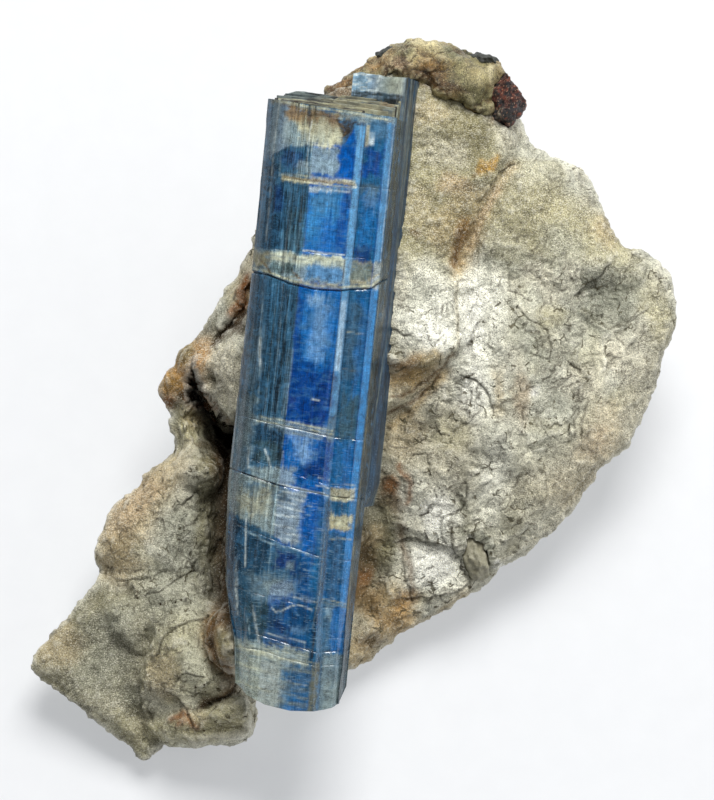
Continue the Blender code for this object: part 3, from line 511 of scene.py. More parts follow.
class Shades:
    """Builds the nodes of one material."""

    def __init__(self, name):
        self.material = bpy.data.materials.new(name)
        self.material.use_nodes = True
        self.tree = self.material.node_tree
        self.shader = self.tree.nodes["Principled BSDF"]
        place = self.node("ShaderNodeTexCoord", out="Object")
        self.place = self.node("ShaderNodeVectorMath", operation="SCALE", Vector=place, Scale=1 / MM)

    def node(self, kind, out=0, operation=None, inputs=None, **values):
        made = self.tree.nodes.new(kind)
        if operation:
            made.operation = operation
        for key, value in {**values, **(inputs or {})}.items():
            self.put(made.inputs[key], value)
        return made.outputs[out]

    def put(self, socket, value):
        if isinstance(value, bpy.types.NodeSocket):
            self.tree.links.new(value, socket)
        elif socket.type == "RGBA":
            socket.default_value = (*value, 1.0)
        else:
            socket.default_value = value

    def set(self, name, value):
        self.put(self.shader.inputs[name], value)

    def attribute(self, name, vector=False):
        made = self.tree.nodes.new("ShaderNodeAttribute")
        made.attribute_name = name
        return made.outputs["Vector" if vector else "Fac"]

    def noise(self, size, detail=2.0, place=None, roughness=0.5, distortion=0.0):
        """Noise from about 0 to 1 in lumps of this size in mm."""
        return self.node("ShaderNodeTexNoise", Vector=place or self.place, Scale=1 / size, Detail=detail,
                         Roughness=roughness, Distortion=distortion)

    def cells(self, size, place=None, feature="F1"):
        """The outputs of a pattern of cells of this size in mm."""
        made = self.tree.nodes.new("ShaderNodeTexVoronoi")
        made.feature = feature
        self.put(made.inputs["Vector"], place or self.place)
        made.inputs["Scale"].default_value = 1 / size
        return made.outputs

    def facets(self, size, place):
        """Broken flakes of this size in mm: a random number for each, and a height that tilts each one."""
        flakes = self.cells(size, place)
        slope = self.vector("SUBTRACT", flakes["Color"], MIDDLE)
        away = self.vector("SUBTRACT", place, flakes["Position"])
        return self.channel(flakes["Color"]), self.vector("DOT_PRODUCT", slope, away, out="Value")

    def vector(self, operation, *values, out=0):
        return self.node("ShaderNodeVectorMath", out, operation, dict(enumerate(values)))

    def math(self, operation, first, second=0.5, third=0.0):
        return self.node("ShaderNodeMath", 0, operation, {0: first, 1: second, 2: third})

    def times(self, first, second):
        return self.math("MULTIPLY", first, second)

    def channel(self, colour, name="Red"):
        """One channel of a colour, which is a random number where the colour is random."""
        return self.node("ShaderNodeSeparateColor", name, Color=colour)

    def stretched(self, place, scale):
        return self.vector("MULTIPLY", place, scale)

    def fit(self, value, low, high, to_low=0.0, to_high=1.0):
        """The value between low and high, spread from to_low to to_high."""
        return self.node("ShaderNodeMapRange", Value=value, inputs={1: low, 2: high, 3: to_low, 4: to_high})

    def mix(self, share, first, second, blend="MIX"):
        made = self.tree.nodes.new("ShaderNodeMix")
        made.data_type = "RGBA"
        made.blend_type = blend
        self.put(made.inputs[0], share)
        self.put(made.inputs[6], first)
        self.put(made.inputs[7], second)
        return made.outputs[2]

    def tinted(self, colour, factor):
        """The colour times another colour."""
        return self.mix(1.0, colour, factor, "MULTIPLY")

    def colours(self, value, *stops):
        """A colour for the value, from colours evenly spaced from 0 to 1."""
        made = self.tree.nodes.new("ShaderNodeValToRGB")
        while len(made.color_ramp.elements) < len(stops):
            made.color_ramp.elements.new(0.5)
        for number, colour in enumerate(stops):
            made.color_ramp.elements[number].position = number / (len(stops) - 1)
            made.color_ramp.elements[number].color = (*colour, 1.0)
        self.put(made.inputs[0], value)
        return made.outputs[0]

    def uneven(self, colour, *layers):
        """The colour made lighter and darker by layers of noise, each with how strongly."""
        light = 1.0
        for value, strength in layers:
            light = self.math("ADD", self.math("MULTIPLY_ADD", value, 2 * strength, -strength), light)
        return self.tinted(colour, self.math("MAXIMUM", light, 0.05))

    def bump(self, height, strength=1.0, distance=0.1, normal=None):
        """Bump with the height in units of the distance in mm."""
        made = self.tree.nodes.new("ShaderNodeBump")
        made.inputs["Strength"].default_value = strength
        made.inputs["Distance"].default_value = distance * MM
        self.put(made.inputs["Height"], height)
        if normal:
            self.put(made.inputs["Normal"], normal)
        return made.outputs[0]

    def glitter(self, size, tilt, normal):
        """A normal that is tilted at random in each small cell, as on mica flakes."""
        centred = self.vector("SUBTRACT", self.cells(size)["Color"], MIDDLE)
        turned = self.vector("MULTIPLY", centred, (tilt, tilt, tilt))
        return self.vector("NORMALIZE", self.vector("ADD", normal, turned))


def schist_material():
    """Mica schist: painted tints under fine salt and pepper, golden flakes painted bright as glints, hair
    cracks and dark specks, with painted shade in hollows and painted highlights on standing edges.
    """
    s = Shades("mica schist")
    tint, crack = s.attribute("tint", vector=True), s.attribute("crack")
    grit, hollow = s.attribute("grit"), s.attribute("hollow")

    mottle = s.noise(1.6, 3.0, roughness=0.6)
    grain = s.noise(0.105, 1.0, roughness=0.7)
    pepper = s.noise(0.32, 2.0, roughness=0.75)
    bright = s.channel(tint, "Green")
    crisp = s.math("MAXIMUM", s.fit(bright, 0.20, 0.70, 0.45, 1.0), s.times(grit, 0.55))
    flakes = s.channel(s.cells(0.24)["Color"])
    loose = s.node("ShaderNodeTexNoise", out=1, Vector=s.place, Scale=0.7, Detail=3.0)
    warped = s.vector("MULTIPLY_ADD", loose, (1.6, 1.6, 1.6), s.place)
    tone, slope = s.facets(2.1, warped)
    small_tone, small_slope = s.facets(0.8, warped)
    even = (mottle, 0.22), (tone, 0.16), (small_tone, 0.10)
    plain = s.uneven(tint, (grain, 0.6), (pepper, 0.2), *even)
    sandy = s.math("MULTIPLY_ADD", s.math("SUBTRACT", grain, 0.5), grit, 0.5)
    sharp = s.uneven(tint, (grain, 1.1), (sandy, 0.9), (pepper, 0.2), (flakes, 0.14), *even)
    base = s.mix(crisp, plain, sharp)
    base = s.tinted(base, (1.10, 1.10, 1.07))
    # Painted shade in the hollows, then a painted highlight on standing edges
    base = s.mix(s.fit(hollow, 0.0, 1.0, 0.0, 0.4), base, seen(70, 62, 40))
    base = s.mix(s.times(s.fit(hollow, -0.1, -0.8, 0.0, 0.6), crisp), base, seen(236, 234, 220))

    spark = s.noise(0.15, 1.0, s.stretched(s.place, (1.0, 1.3, 0.8)))
    # Painted glints: golden-white specks where pale mica flakes would catch the light
    golden_glint = s.times(s.fit(s.math("MULTIPLY_ADD", grit, 0.05, spark), 0.62, 0.67), crisp)
    base = s.mix(s.times(golden_glint, 0.8), base, seen(250, 246, 226))
    dark = s.times(s.fit(s.math("MULTIPLY_ADD", grit, -0.03, spark), 0.36, 0.30), crisp)
    base = s.mix(s.times(dark, 0.7), base, seen(84, 78, 52))

    edge, short_edge = (s.cells(size, warped, "DISTANCE_TO_EDGE")["Distance"] for size in (2.1, 0.8))
    hair = s.times(s.fit(edge, 0.045, 0.02), s.fit(s.noise(1.3, 2.0), 0.56, 0.62))
    short = s.times(s.fit(short_edge, 0.09, 0.03), s.fit(s.noise(0.9, 2.0), 0.62, 0.68))
    hair = s.times(s.math("MAXIMUM", hair, short), s.fit(grit, 0.0, 0.8, 0.85, 0.1))
    base = s.mix(hair, base, seen(84, 78, 54))
    base = s.mix(s.times(s.fit(crack, 0.12, 0.8), 0.82), base, seen(50, 42, 22))
    dotted = s.cells(0.75)
    dots = s.times(s.fit(dotted["Distance"], 0.20, 0.12), s.fit(s.channel(dotted["Color"]), 0.55, 0.58))
    base = s.mix(s.times(dots, s.attribute("dotted")), base, seen(58, 40, 20))
    s.set("Base Color", base)

    shine = s.channel(base)
    s.set("Roughness", s.math("ADD", s.fit(shine, 0.05, 0.5, 0.9, 0.5), s.fit(spark, 0.35, 0.7, 0.1, -0.2)))
    s.set("Specular IOR Level", 0.4)
    slopes = s.math("MULTIPLY_ADD", slope, 0.75, s.times(small_slope, 0.55))
    slopes = s.times(slopes, s.fit(grit, 0.0, 1.0, 1.0, 0.4))
    height = s.math("ADD", s.times(pepper, 0.5), s.math("MULTIPLY_ADD", hair, -0.4, grain))
    tilted = s.bump(slopes, 1.0, 1.0)
    s.set("Normal", s.glitter(0.2, 0.3, s.bump(height, 1.0, 0.14, tilted)))
    return s.material


def kyanite_material():
    """Kyanite: painted zones of blue, slate and milk, with fine streaks along the blade and glassy faces."""
    s = Shades("kyanite")
    blade = s.attribute("blade", vector=True)
    tint, milk, streaky = s.attribute("tint", vector=True), s.attribute("milk"), s.attribute("streaky")
    streaks = s.noise(0.09, 2.0, s.stretched(blade, (1.0, 1.0, 0.035)), 0.7)
    broad = s.noise(0.5, 2.0, s.stretched(blade, (1.0, 1.0, 0.07)), 0.5)
    clouds = s.noise(0.6, 3.0, blade, 0.6, 0.5)
    fine = s.noise(0.11, 1.0, blade, 0.6)
    steps = s.noise(0.11, 1.0, s.stretched(blade, (0.12, 1.0, 1.0)), 0.6)
    low = s.fit(s.node("ShaderNodeSeparateXYZ", out="Z", Vector=blade), 20.0, 30.0, 1.0, 0.3)
    base = s.uneven(tint, (clouds, 0.9), (fine, 0.4), (steps, 0.3))
    base = s.mix(s.times(s.fit(steps, 0.60, 0.70, 0.0, 0.30), low), base, seen(176, 200, 210))
    base = s.mix(s.times(s.fit(steps, 0.38, 0.30, 0.0, 0.35), low), base, seen(20, 46, 70))
    lined = s.uneven(base, (streaks, 2.1), (broad, 0.6))
    base = s.mix(s.times(streaky, s.fit(milk, 0.3, 0.9, 1.0, 0.45)), base, lined)
    haze = s.times(s.fit(s.noise(0.9, 4.0, blade, 0.65, 0.8), 0.50, 0.72), 0.50)
    haze = s.times(haze, s.fit(s.attribute("dull"), 0.0, 1.0, 1.0, 0.0))
    haze = s.times(haze, s.fit(milk, 0.2, 0.8, 1.0, 0.15))
    base = s.mix(haze, base, seen(84, 142, 186))
    scratch = s.fit(s.noise(0.09, 1.0, s.stretched(blade, (1.0, 1.0, 0.06)), 0.5), 0.71, 0.79)
    scratch = s.times(scratch, s.times(streaky, s.fit(clouds, 0.4, 0.7, 0.0, 0.5)))
    base = s.mix(scratch, base, seen(190, 204, 208))
    base = s.tinted(base, (0.93, 1.0, 1.04))
    s.set("Base Color", base)
    dull = s.math("MULTIPLY_ADD", s.attribute("dull"), 0.45, s.fit(milk, 0.3, 1.0, 0.0, 0.2))
    s.set("Roughness", s.math("ADD", s.fit(fine, 0.3, 0.7, 0.07, 0.2), dull))
    s.set("IOR", 1.6)
    s.set("Transmission Weight", s.fit(milk, 0.0, 1.0, 0.35, 0.05))
    s.set("Normal", s.bump(fine, 0.3, 0.04, s.bump(s.times(streaks, streaky), 0.6, 0.05)))
    return s.material


def quartz_material():
    """Greasy quartz: painted cream, gold and grey-green, grainy and a little see-through, with painted shade
    in its hollows, painted highlights on its edges and painted sparkles.
    """
    s = Shades("quartz")
    tint, crack, hollow = s.attribute("tint", vector=True), s.attribute("crack"), s.attribute("hollow")
    mottle = s.noise(0.8, 4.0, roughness=0.7)
    fine = s.noise(0.12, 2.0, roughness=0.75)
    base = s.uneven(tint, (mottle, 1.3), (fine, 1.7))
    # Painted shade in the hollows between the knobs, then a painted highlight on their standing edges
    base = s.mix(s.fit(hollow, 0.0, 1.0, 0.0, 0.7), base, seen(52, 38, 16))
    base = s.mix(s.fit(hollow, -0.2, -1.0, 0.0, 0.35), base, seen(206, 196, 160))
    base = s.mix(s.times(crack, 0.9), base, seen(40, 34, 22))
    # Painted glints: pale sparkles over the grains
    sparkle = s.times(s.fit(s.noise(0.16, 2.0, roughness=0.8), 0.60, 0.70), 0.6)
    base = s.mix(sparkle, base, seen(240, 230, 190))
    speck = s.noise(0.2, 1.0, s.stretched(s.place, (1.0, 0.8, 1.2)))
    speck = s.times(s.fit(speck, 0.38, 0.32), 0.55)
    base = s.mix(speck, base, seen(48, 40, 20))
    s.set("Base Color", base)
    s.set("Roughness", s.fit(fine, 0.3, 0.7, 0.22, 0.5))
    s.set("IOR", 1.54)
    s.set("Normal", s.bump(s.math("MULTIPLY_ADD", mottle, 0.7, fine), 0.7, 0.2))
    return s.material


def garnet_material():
    """Broken garnet: almost black with wine-red and rusty faces, painted shade in its hollows, painted
    highlights on its edges and painted glints.
    """
    s = Shades("garnet")
    tint, hollow = s.attribute("tint", vector=True), s.attribute("hollow")
    mottle = s.noise(0.7, 4.0, roughness=0.75)
    fine = s.noise(0.16, 3.0, roughness=0.8)
    base = s.mix(s.fit(s.noise(0.55, 2.0), 0.54, 0.60), tint, seen(112, 50, 30))
    base = s.mix(s.fit(s.noise(0.62, 3.0), 0.49, 0.56), base, seen(34, 33, 37))
    base = s.uneven(base, (mottle, 2.2), (fine, 2.4))
    # Painted shade in the hollows, then a painted highlight on the edges
    base = s.mix(s.fit(hollow, 0.0, 0.8, 0.0, 0.9), base, seen(14, 10, 10))
    base = s.mix(s.fit(hollow, -0.3, -1.0, 0.0, 0.4), base, seen(150, 84, 58))
    glint = s.times(s.fit(s.noise(0.2, 1.0), 0.63, 0.69), 0.85)
    base = s.mix(glint, base, seen(206, 160, 130))
    s.set("Base Color", base)
    s.set("Roughness", s.fit(mottle, 0.3, 0.7, 0.3, 0.6))
    s.set("Specular IOR Level", 0.35)
    s.set("IOR", 1.8)
    s.set("Normal", s.glitter(0.3, 0.5, s.bump(fine, 1.0, 0.3)))
    return s.material


def grain_material(name, dark, middle, light):
    """A plain mineral grain in three tones of one colour."""
    s = Shades(name)
    mottle = s.noise(0.7, 4.0, roughness=0.7)
    fine = s.noise(0.18, 3.0, roughness=0.75)
    value = s.fit(s.math("MULTIPLY_ADD", fine, 0.6, s.times(mottle, 0.6)), 0.35, 0.85)
    s.set("Base Color", s.colours(value, dark, middle, light))
    s.set("Roughness", s.fit(fine, 0.3, 0.7, 0.3, 0.6))
    s.set("Normal", s.bump(fine, 0.7, 0.14))
    return s.material


def floor_material():
    """White paper with a barely seen tooth."""
    s = Shades("white paper")
    tooth = s.noise(3.0, 3.0)
    s.set("Base Color", s.mix(s.fit(tooth, 0.3, 0.7), (0.400, 0.406, 0.418), (0.420, 0.426, 0.438)))
    s.set("Roughness", s.fit(tooth, 0.3, 0.7, 0.75, 0.85))
    s.set("Normal", s.bump(s.noise(0.8, 2.0), 0.1, 0.02))
    s.set("Emission Color", (0.93, 0.96, 1.0))
    s.set("Emission Strength", FLOOR_GLOW)
    return s.material


# The schist

ROCK = palette(
    snow=(250, 250, 244), silver=(229, 229, 217), grey=(190, 190, 176), dove=(160, 161, 146),
    lead=(128, 130, 118), slate=(92, 94, 80), cream=(206, 201, 182), stone=(176, 171, 152),
    sand=(188, 172, 138), olive=(164, 158, 124), moss=(122, 116, 84), tan=(168, 148, 110),
    pink=(196, 168, 134), honey=(186, 146, 66), ochre=(156, 114, 52), rust=(134, 82, 30), umber=(92, 66, 34),
    bark=(60, 42, 22), soot=(26, 18, 10),
)

# Tints laid over the rock one after another: the colour, how much of it, then centre, half sizes and turn
TINTS = [
    # Upper block beside the crystal
    ("olive", 0.95, (9.0, 21.0), (6.4, 12.0), 12), ("olive", 0.8, (4.8, 20.0), (2.4, 11.0), -6),
    ("cream", 0.75, (9.6, 24.6), (2.0, 1.5), 20), ("moss", 0.8, (11.0, 27.2), (2.4, 1.5), 10),
    ("moss", 0.75, (12.6, 25.0), (1.5, 2.6), 0), ("sand", 0.7, (6.4, 28.8), (2.6, 1.6), 0),
    ("stone", 0.8, (12.2, 20.4), (2.0, 1.2), 30), ("pink", 0.75, (9.8, 21.4), (1.7, 1.0), -10),
    ("tan", 0.85, (11.2, 19.3), (2.4, 1.8), 20), ("tan", 0.85, (9.8, 16.6), (2.4, 2.1), 0),
    ("moss", 0.6, (5.2, 14.6), (1.8, 2.6), -10), ("umber", 0.75, (5.6, 16.6), (0.7, 0.3), -35),
    ("sand", 0.5, (6.4, 19.0), (1.6, 2.4), 0), ("cream", 0.45, (7.2, 25.6), (1.4, 1.6), 0),
    ("dove", 0.6, (13.6, 28.4), (1.2, 1.0), 0), ("cream", 0.6, (15.4, 26.6), (1.2, 1.4), 0),
    ("moss", 0.35, (9.6, 22.6), (5.6, 9.0), 12), ("ochre", 0.7, (10.9, 15.2), (1.2, 2.4), -16),
    ("umber", 0.85, (10.8, 14.8), (0.8, 1.9), -14), ("tan", 0.7, (10.4, 12.8), (0.9, 1.8), -6),
    # Big right plate. Its silver and snow patches are pale mica, made brighter by a painted sheen
    ("silver", 0.95, (12.4, 9.6), (2.8, 5.4), 0), ("silver", 0.85, (11.8, 2.0), (2.6, 4.2), 0),
    ("snow", 0.6, (11.4, 8.4), (1.4, 3.6), 0), ("snow", 0.5, (11.6, 0.6), (1.2, 2.4), 0),
    ("dove", 0.85, (15.2, 13.9), (4.2, 1.3), -14), ("moss", 0.45, (14.2, 14.6), (2.6, 0.7), -20),
    ("olive", 0.85, (18.4, 18.0), (4.6, 3.4), -38), ("olive", 0.8, (24.2, 16.0), (5.6, 2.4), -42),
    ("tan", 0.55, (25.0, 17.2), (1.5, 1.9), 30), ("dove", 0.7, (20.4, 15.6), (2.2, 1.8), -30),
    ("cream", 0.7, (18.2, 12.6), (1.6, 1.0), -15), ("cream", 0.6, (21.6, 11.8), (1.0, 2.2), 12),
    ("dove", 0.95, (25.4, 10.3), (3.6, 3.2), 10), ("lead", 0.6, (24.6, 10.8), (2.2, 2.2), 10),
    ("lead", 0.5, (27.0, 9.0), (1.6, 1.2), 30), ("grey", 0.7, (21.2, 6.6), (2.2, 1.6), 0),
    ("dove", 0.8, (17.0, 6.6), (1.4, 1.8), 20), ("olive", 0.5, (19.4, 8.2), (1.4, 1.4), 0),
    ("dove", 0.75, (18.4, 4.2), (1.8, 1.1), 0), ("lead", 0.55, (13.0, 12.6), (0.5, 1.4), 5),
    ("grey", 0.8, (18.4, 1.6), (2.6, 1.2), 25), ("lead", 0.85, (19.9, -0.6), (1.1, 0.9), 0),
    ("moss", 0.75, (18.6, -2.6), (1.9, 0.7), 0), ("snow", 0.95, (17.6, 0.8), (0.55, 0.32), 10),
    ("snow", 0.9, (14.4, -16.5), (0.5, 0.35), 0), ("cream", 0.7, (22.6, 1.8), (2.2, 1.8), 0),
    ("cream", 0.6, (26.6, 4.2), (2.6, 2.0), 0), ("stone", 0.7, (29.4, 2.0), (2.0, 5.6), -18),
    ("olive", 0.6, (30.0, 9.0), (1.2, 3.2), 10), ("tan", 0.45, (24.4, -2.4), (2.6, 2.0), 40),
    ("pink", 0.45, (16.4, 0.2), (0.8, 2.6), 0), ("tan", 0.55, (22.4, -7.0), (4.6, 3.2), 42),
    ("pink", 0.45, (23.4, -4.6), (2.0, 1.2), 40), ("stone", 0.6, (17.4, -9.6), (2.4, 4.0), 0),
    ("grey", 0.75, (13.6, -5.0), (2.4, 3.6), 0), ("silver", 0.7, (13.8, -7.4), (1.8, 3.0), 0),
    ("silver", 0.55, (13.0, -11.4), (1.6, 1.8), 0), ("grey", 0.5, (20.0, -4.0), (4.0, 4.0), 0),
    ("lead", 0.85, (11.9, -15.2), (1.7, 2.9), 23), ("moss", 0.5, (11.6, -16.4), (1.3, 1.6), 23),
    ("sand", 0.6, (14.0, 1.0), (0.6, 2.4), 5), ("cream", 0.6, (20.2, -13.0), (3.0, 1.0), 35),
    # Below the ledge, beside the crystal. Its silver and snow patches are pale mica, made brighter by a
    # painted sheen
    ("silver", 1.0, (6.9, 8.9), (3.3, 4.4), 0), ("snow", 0.55, (7.6, 6.4), (1.8, 1.5), 0),
    ("dove", 0.6, (6.0, 10.6), (1.8, 0.9), 20), ("cream", 0.5, (4.2, 11.2), (0.9, 2.0), 0),
    ("tan", 0.9, (5.6, 3.0), (2.8, 1.3), 24), ("umber", 0.6, (4.2, 3.6), (1.6, 0.6), 10),
    ("ochre", 0.35, (5.4, 2.4), (2.8, 1.8), 24), ("sand", 0.7, (6.3, 1.7), (2.4, 1.0), 24),
    ("honey", 0.4, (5.6, 2.2), (1.2, 0.5), 24), ("moss", 0.6, (6.8, 3.6), (1.4, 0.6), 20),
    ("sand", 0.8, (7.4, 4.3), (1.0, 0.4), 25), ("stone", 0.9, (7.0, -5.2), (4.6, 5.0), 0),
    ("tan", 0.45, (4.4, -3.4), (2.2, 2.4), 0), ("olive", 0.5, (9.4, -3.4), (2.0, 1.6), 0),
    ("silver", 0.65, (7.0, -10.0), (3.0, 2.4), -20), ("snow", 0.8, (8.2, -11.8), (1.7, 2.0), 0),
    ("silver", 1.0, (7.8, -16.8), (3.4, 2.9), -8), ("snow", 0.7, (7.6, -16.4), (2.0, 2.0), 0),
    ("umber", 0.8, (3.2, -9.6), (1.3, 2.0), 20), ("rust", 0.7, (3.6, -8.6), (0.9, 0.9), 0),
    ("moss", 0.9, (1.6, -14.4), (2.2, 3.8), -12), ("umber", 0.7, (0.4, -15.6), (1.4, 3.0), -12),
    ("umber", 0.95, (0.0, -19.0), (1.2, 2.2), -12), ("rust", 0.8, (0.6, -18.4), (0.7, 1.4), -16),
    ("tan", 0.95, (3.0, -21.4), (3.8, 2.5), -36), ("sand", 0.6, (1.8, -13.4), (0.8, 1.2), -20),
    ("ochre", 0.4, (3.0, -21.0), (3.0, 1.8), -36), ("ochre", 0.4, (-13.4, -24.2), (1.6, 2.4), 0),
    ("sand", 0.6, (3.6, -19.4), (1.0, 2.0), -20), ("ochre", 0.5, (4.6, -20.6), (1.6, 1.0), 40),
    ("tan", 0.8, (0.2, -25.2), (2.0, 2.0), 0), ("umber", 0.5, (1.4, -24.0), (1.2, 1.0), 30),
    # Strip, lump and tip at the left of the crystal
    ("sand", 0.8, (-10.9, 12.0), (1.2, 3.6), -18), ("cream", 0.7, (-10.6, 13.4), (0.7, 1.6), -18),
    ("slate", 0.9, (-14.2, 6.7), (1.7, 1.5), 30), ("lead", 0.5, (-13.2, 8.6), (0.9, 1.1), 0),
    ("rust", 0.95, (-11.3, 10.2), (0.55, 2.0), -12), ("bark", 0.95, (-12.1, 7.4), (1.2, 0.9), 0),
    ("stone", 1.0, (-13.4, 3.2), (2.5, 3.8), 20), ("cream", 0.5, (-13.2, 4.2), (1.2, 1.4), 0),
    ("pink", 0.8, (-15.4, 4.8), (0.8, 1.2), -15), ("ochre", 0.95, (-18.0, 3.0), (2.6, 3.8), -38),
    ("moss", 0.7, (-17.6, 4.8), (1.2, 1.6), -38), ("bark", 0.9, (-16.7, 1.2), (0.8, 1.8), -10),
    ("honey", 0.4, (-18.8, 1.8), (1.0, 1.0), 0), ("rust", 0.85, (-18.6, -0.5), (1.8, 0.6), 0),
    ("bark", 0.95, (-16.9, 0.6), (0.8, 2.2), -14), ("umber", 0.7, (-19.6, 0.2), (0.5, 0.5), 0),
    ("bark", 0.9, (-17.0, -0.9), (2.0, 0.6), -10), ("olive", 0.95, (-16.9, -2.6), (1.7, 2.2), 0),
    ("tan", 0.5, (-16.4, -1.8), (1.2, 1.0), 0), ("umber", 0.6, (-15.4, -4.4), (1.6, 0.5), 0),
    # These umber and bark patches start the brown crevice along the crystal's left side: partly stain, partly
    # the crystal's shadow painted in
    ("umber", 0.95, (-13.2, -5.8), (1.8, 2.2), 0), ("bark", 0.6, (-12.6, -5.6), (1.2, 2.2), 0),
    ("moss", 0.5, (-15.2, -6.4), (1.0, 0.8), 0),
    # Lower left lobe
    ("tan", 0.75, (-21.6, -10.6), (5.6, 2.6), 45), ("pink", 0.45, (-22.4, -10.4), (4.0, 1.4), 46),
    ("sand", 0.45, (-18.4, -6.6), (2.4, 1.4), 30), ("tan", 0.7, (-24.0, -16.0), (2.2, 2.6), 0),
    ("dove", 0.85, (-17.2, -13.0), (3.0, 4.4), -15), ("dove", 0.8, (-18.6, -19.6), (3.4, 3.0), 0),
    ("cream", 0.4, (-17.6, -9.8), (1.0, 1.4), -30), ("moss", 0.7, (-14.9, -11.0), (1.2, 7.0), 0),
    ("moss", 0.75, (-27.0, -25.6), (6.6, 6.6), 0), ("lead", 0.7, (-25.4, -25.4), (4.0, 5.0), -30),
    ("tan", 0.5, (-30.4, -24.4), (2.4, 2.6), 50), ("moss", 0.6, (-24.6, -20.2), (2.0, 1.2), 0),
    ("dove", 0.6, (-24.0, -21.6), (1.4, 2.0), -20), ("slate", 0.6, (-22.4, -29.6), (1.1, 1.8), 0),
    ("moss", 0.7, (-22.0, -33.2), (2.2, 2.6), 0), ("olive", 0.75, (-17.0, -25.6), (3.6, 4.2), 0),
    ("tan", 0.5, (-19.4, -27.4), (1.6, 2.4), 0), ("dove", 0.7, (-16.0, -26.0), (1.8, 2.4), 0),
    ("olive", 0.9, (-15.4, -32.4), (4.8, 1.9), 10), ("sand", 0.5, (-16.4, -31.6), (1.4, 1.0), 0),
    ("moss", 0.9, (-13.2, -24.2), (1.1, 1.8), -10), ("ochre", 0.6, (-14.4, -22.2), (0.8, 0.7), 0),
    ("rust", 0.7, (-17.6, -31.9), (0.7, 0.6), 0), ("umber", 0.5, (-12.9, -28.4), (0.8, 1.4), 0),
    ("umber", 0.85, (-2.2, 30.9), (3.0, 1.6), 0), ("moss", 0.6, (5.0, 30.6), (1.6, 0.8), -20),
    # Honey-coloured spot under the rim
    ("honey", 0.95, (13.1, 23.6), (1.25, 0.55), 42), ("umber", 0.6, (12.0, 22.6), (0.7, 0.22), 46),
]

# The same for drawn lines: the colour, how much, the width and the points
TINT_LINES = [
    ("sand", 0.95, 0.62, [(15.6, 23.4), (13.4, 20.4), (11.9, 17.6), (11.0, 14.8), (10.0, 12.6)]),
    ("pink", 0.5, 0.35, [(14.0, 21.0), (12.2, 18.0), (11.2, 15.2)]),
    ("moss", 0.6, 1.3, [(10.9, 18.6), (10.2, 16.4), (9.6, 14.6)]),
    ("ochre", 0.6, 0.7, [(10.9, 17.6), (10.2, 15.6), (9.8, 13.8)]),
    ("umber", 0.7, 0.35, [(10.4, 17.0), (9.9, 15.2), (9.7, 13.6)]),
    ("cream", 0.9, 0.20, [(10.0, 12.6), (9.85, 10.2), (10.0, 7.6), (10.0, 5.6), (9.2, 4.2)]),
    ("umber", 0.85, 0.16, [(9.6, 4.6), (8.6, 3.2), (7.2, 2.2), (5.4, 0.8), (3.6, 0.2)]),
    ("tan", 0.8, 0.5, [(9.0, 2.8), (7.4, 1.2), (5.6, -0.8), (3.6, -2.6)]),
    ("umber", 0.8, 0.20, [(8.2, 2.4), (6.6, 0.6), (4.6, -0.6), (3.2, -1.2)]),
    ("bark", 0.95, 0.40, [(-11.0, 8.8), (-12.6, 7.6), (-13.4, 6.6), (-14.3, 5.5)]),
    ("rust", 0.9, 0.40, [(-11.0, 12.4), (-11.4, 11.0), (-11.9, 9.4), (-12.6, 8.6)]),
    ("umber", 0.8, 0.4, [(5.8, 31.9), (7.4, 31.3), (9.2, 31.2), (10.8, 30.6), (12.6, 28.9), (13.6, 27.8)]),
    ("rust", 0.7, 0.3, [(4.2, -6.6), (5.4, -8.4), (5.0, -10.4)]),
    ("umber", 0.7, 0.45, [(4.4, -12.8), (4.6, -14.6), (5.2, -16.8), (5.6, -19.4)]),
    # The umber and bark lines down the crystal's left side are its brown crevice: partly stain, partly the
    # crystal's shadow painted in
    ("umber", 0.95, 1.25, [(-12.6, -4.0), (-12.9, -8.0), (-13.0, -13.0), (-13.0, -18.0), (-12.7, -21.4)]),
    ("bark", 0.95, 0.8, [(-12.2, -4.0), (-12.5, -10.0), (-12.7, -16.0), (-12.4, -22.0)]),
    ("ochre", 0.8, 0.75, [(-13.9, -21.4), (-14.7, -22.6), (-14.7, -24.2), (-14.0, -25.8), (-12.9, -26.8)]),
    ("umber", 0.8, 0.40, [(-13.9, -21.4), (-14.7, -22.6), (-14.7, -24.2), (-14.0, -25.8), (-12.9, -26.8),
                          (-12.3, -27.8), (-12.4, -28.9), (-13.9, -29.8), (-15.4, -30.3)]),
    ("bark", 0.8, 0.20, [(-13.4, -21.4), (-14.4, -22.6), (-14.4, -24.4), (-13.6, -25.9), (-12.6, -26.8)]),
    ("bark", 0.8, 0.2, [(-12.0, -28.4), (-13.0, -29.7), (-14.6, -30.0), (-15.8, -30.6)]),
    ("rust", 0.8, 0.35, [(-18.6, -31.9), (-17.2, -31.2), (-16.0, -32.6)]),
    # This bark line, too, is partly stain, partly the crystal's shadow painted in
    ("bark", 0.6, 1.0, [(-12.9, -8.6), (-13.6, -14.6), (-13.4, -20.2)]),
    ("tan", 0.7, 0.5, [(0.2, -27.0), (3.4, -25.0), (8.0, -21.8), (11.0, -19.6)]),
    ("lead", 0.7, 0.3, [(22.2, 8.8), (23.6, 7.4), (25.2, 6.6)]),
]

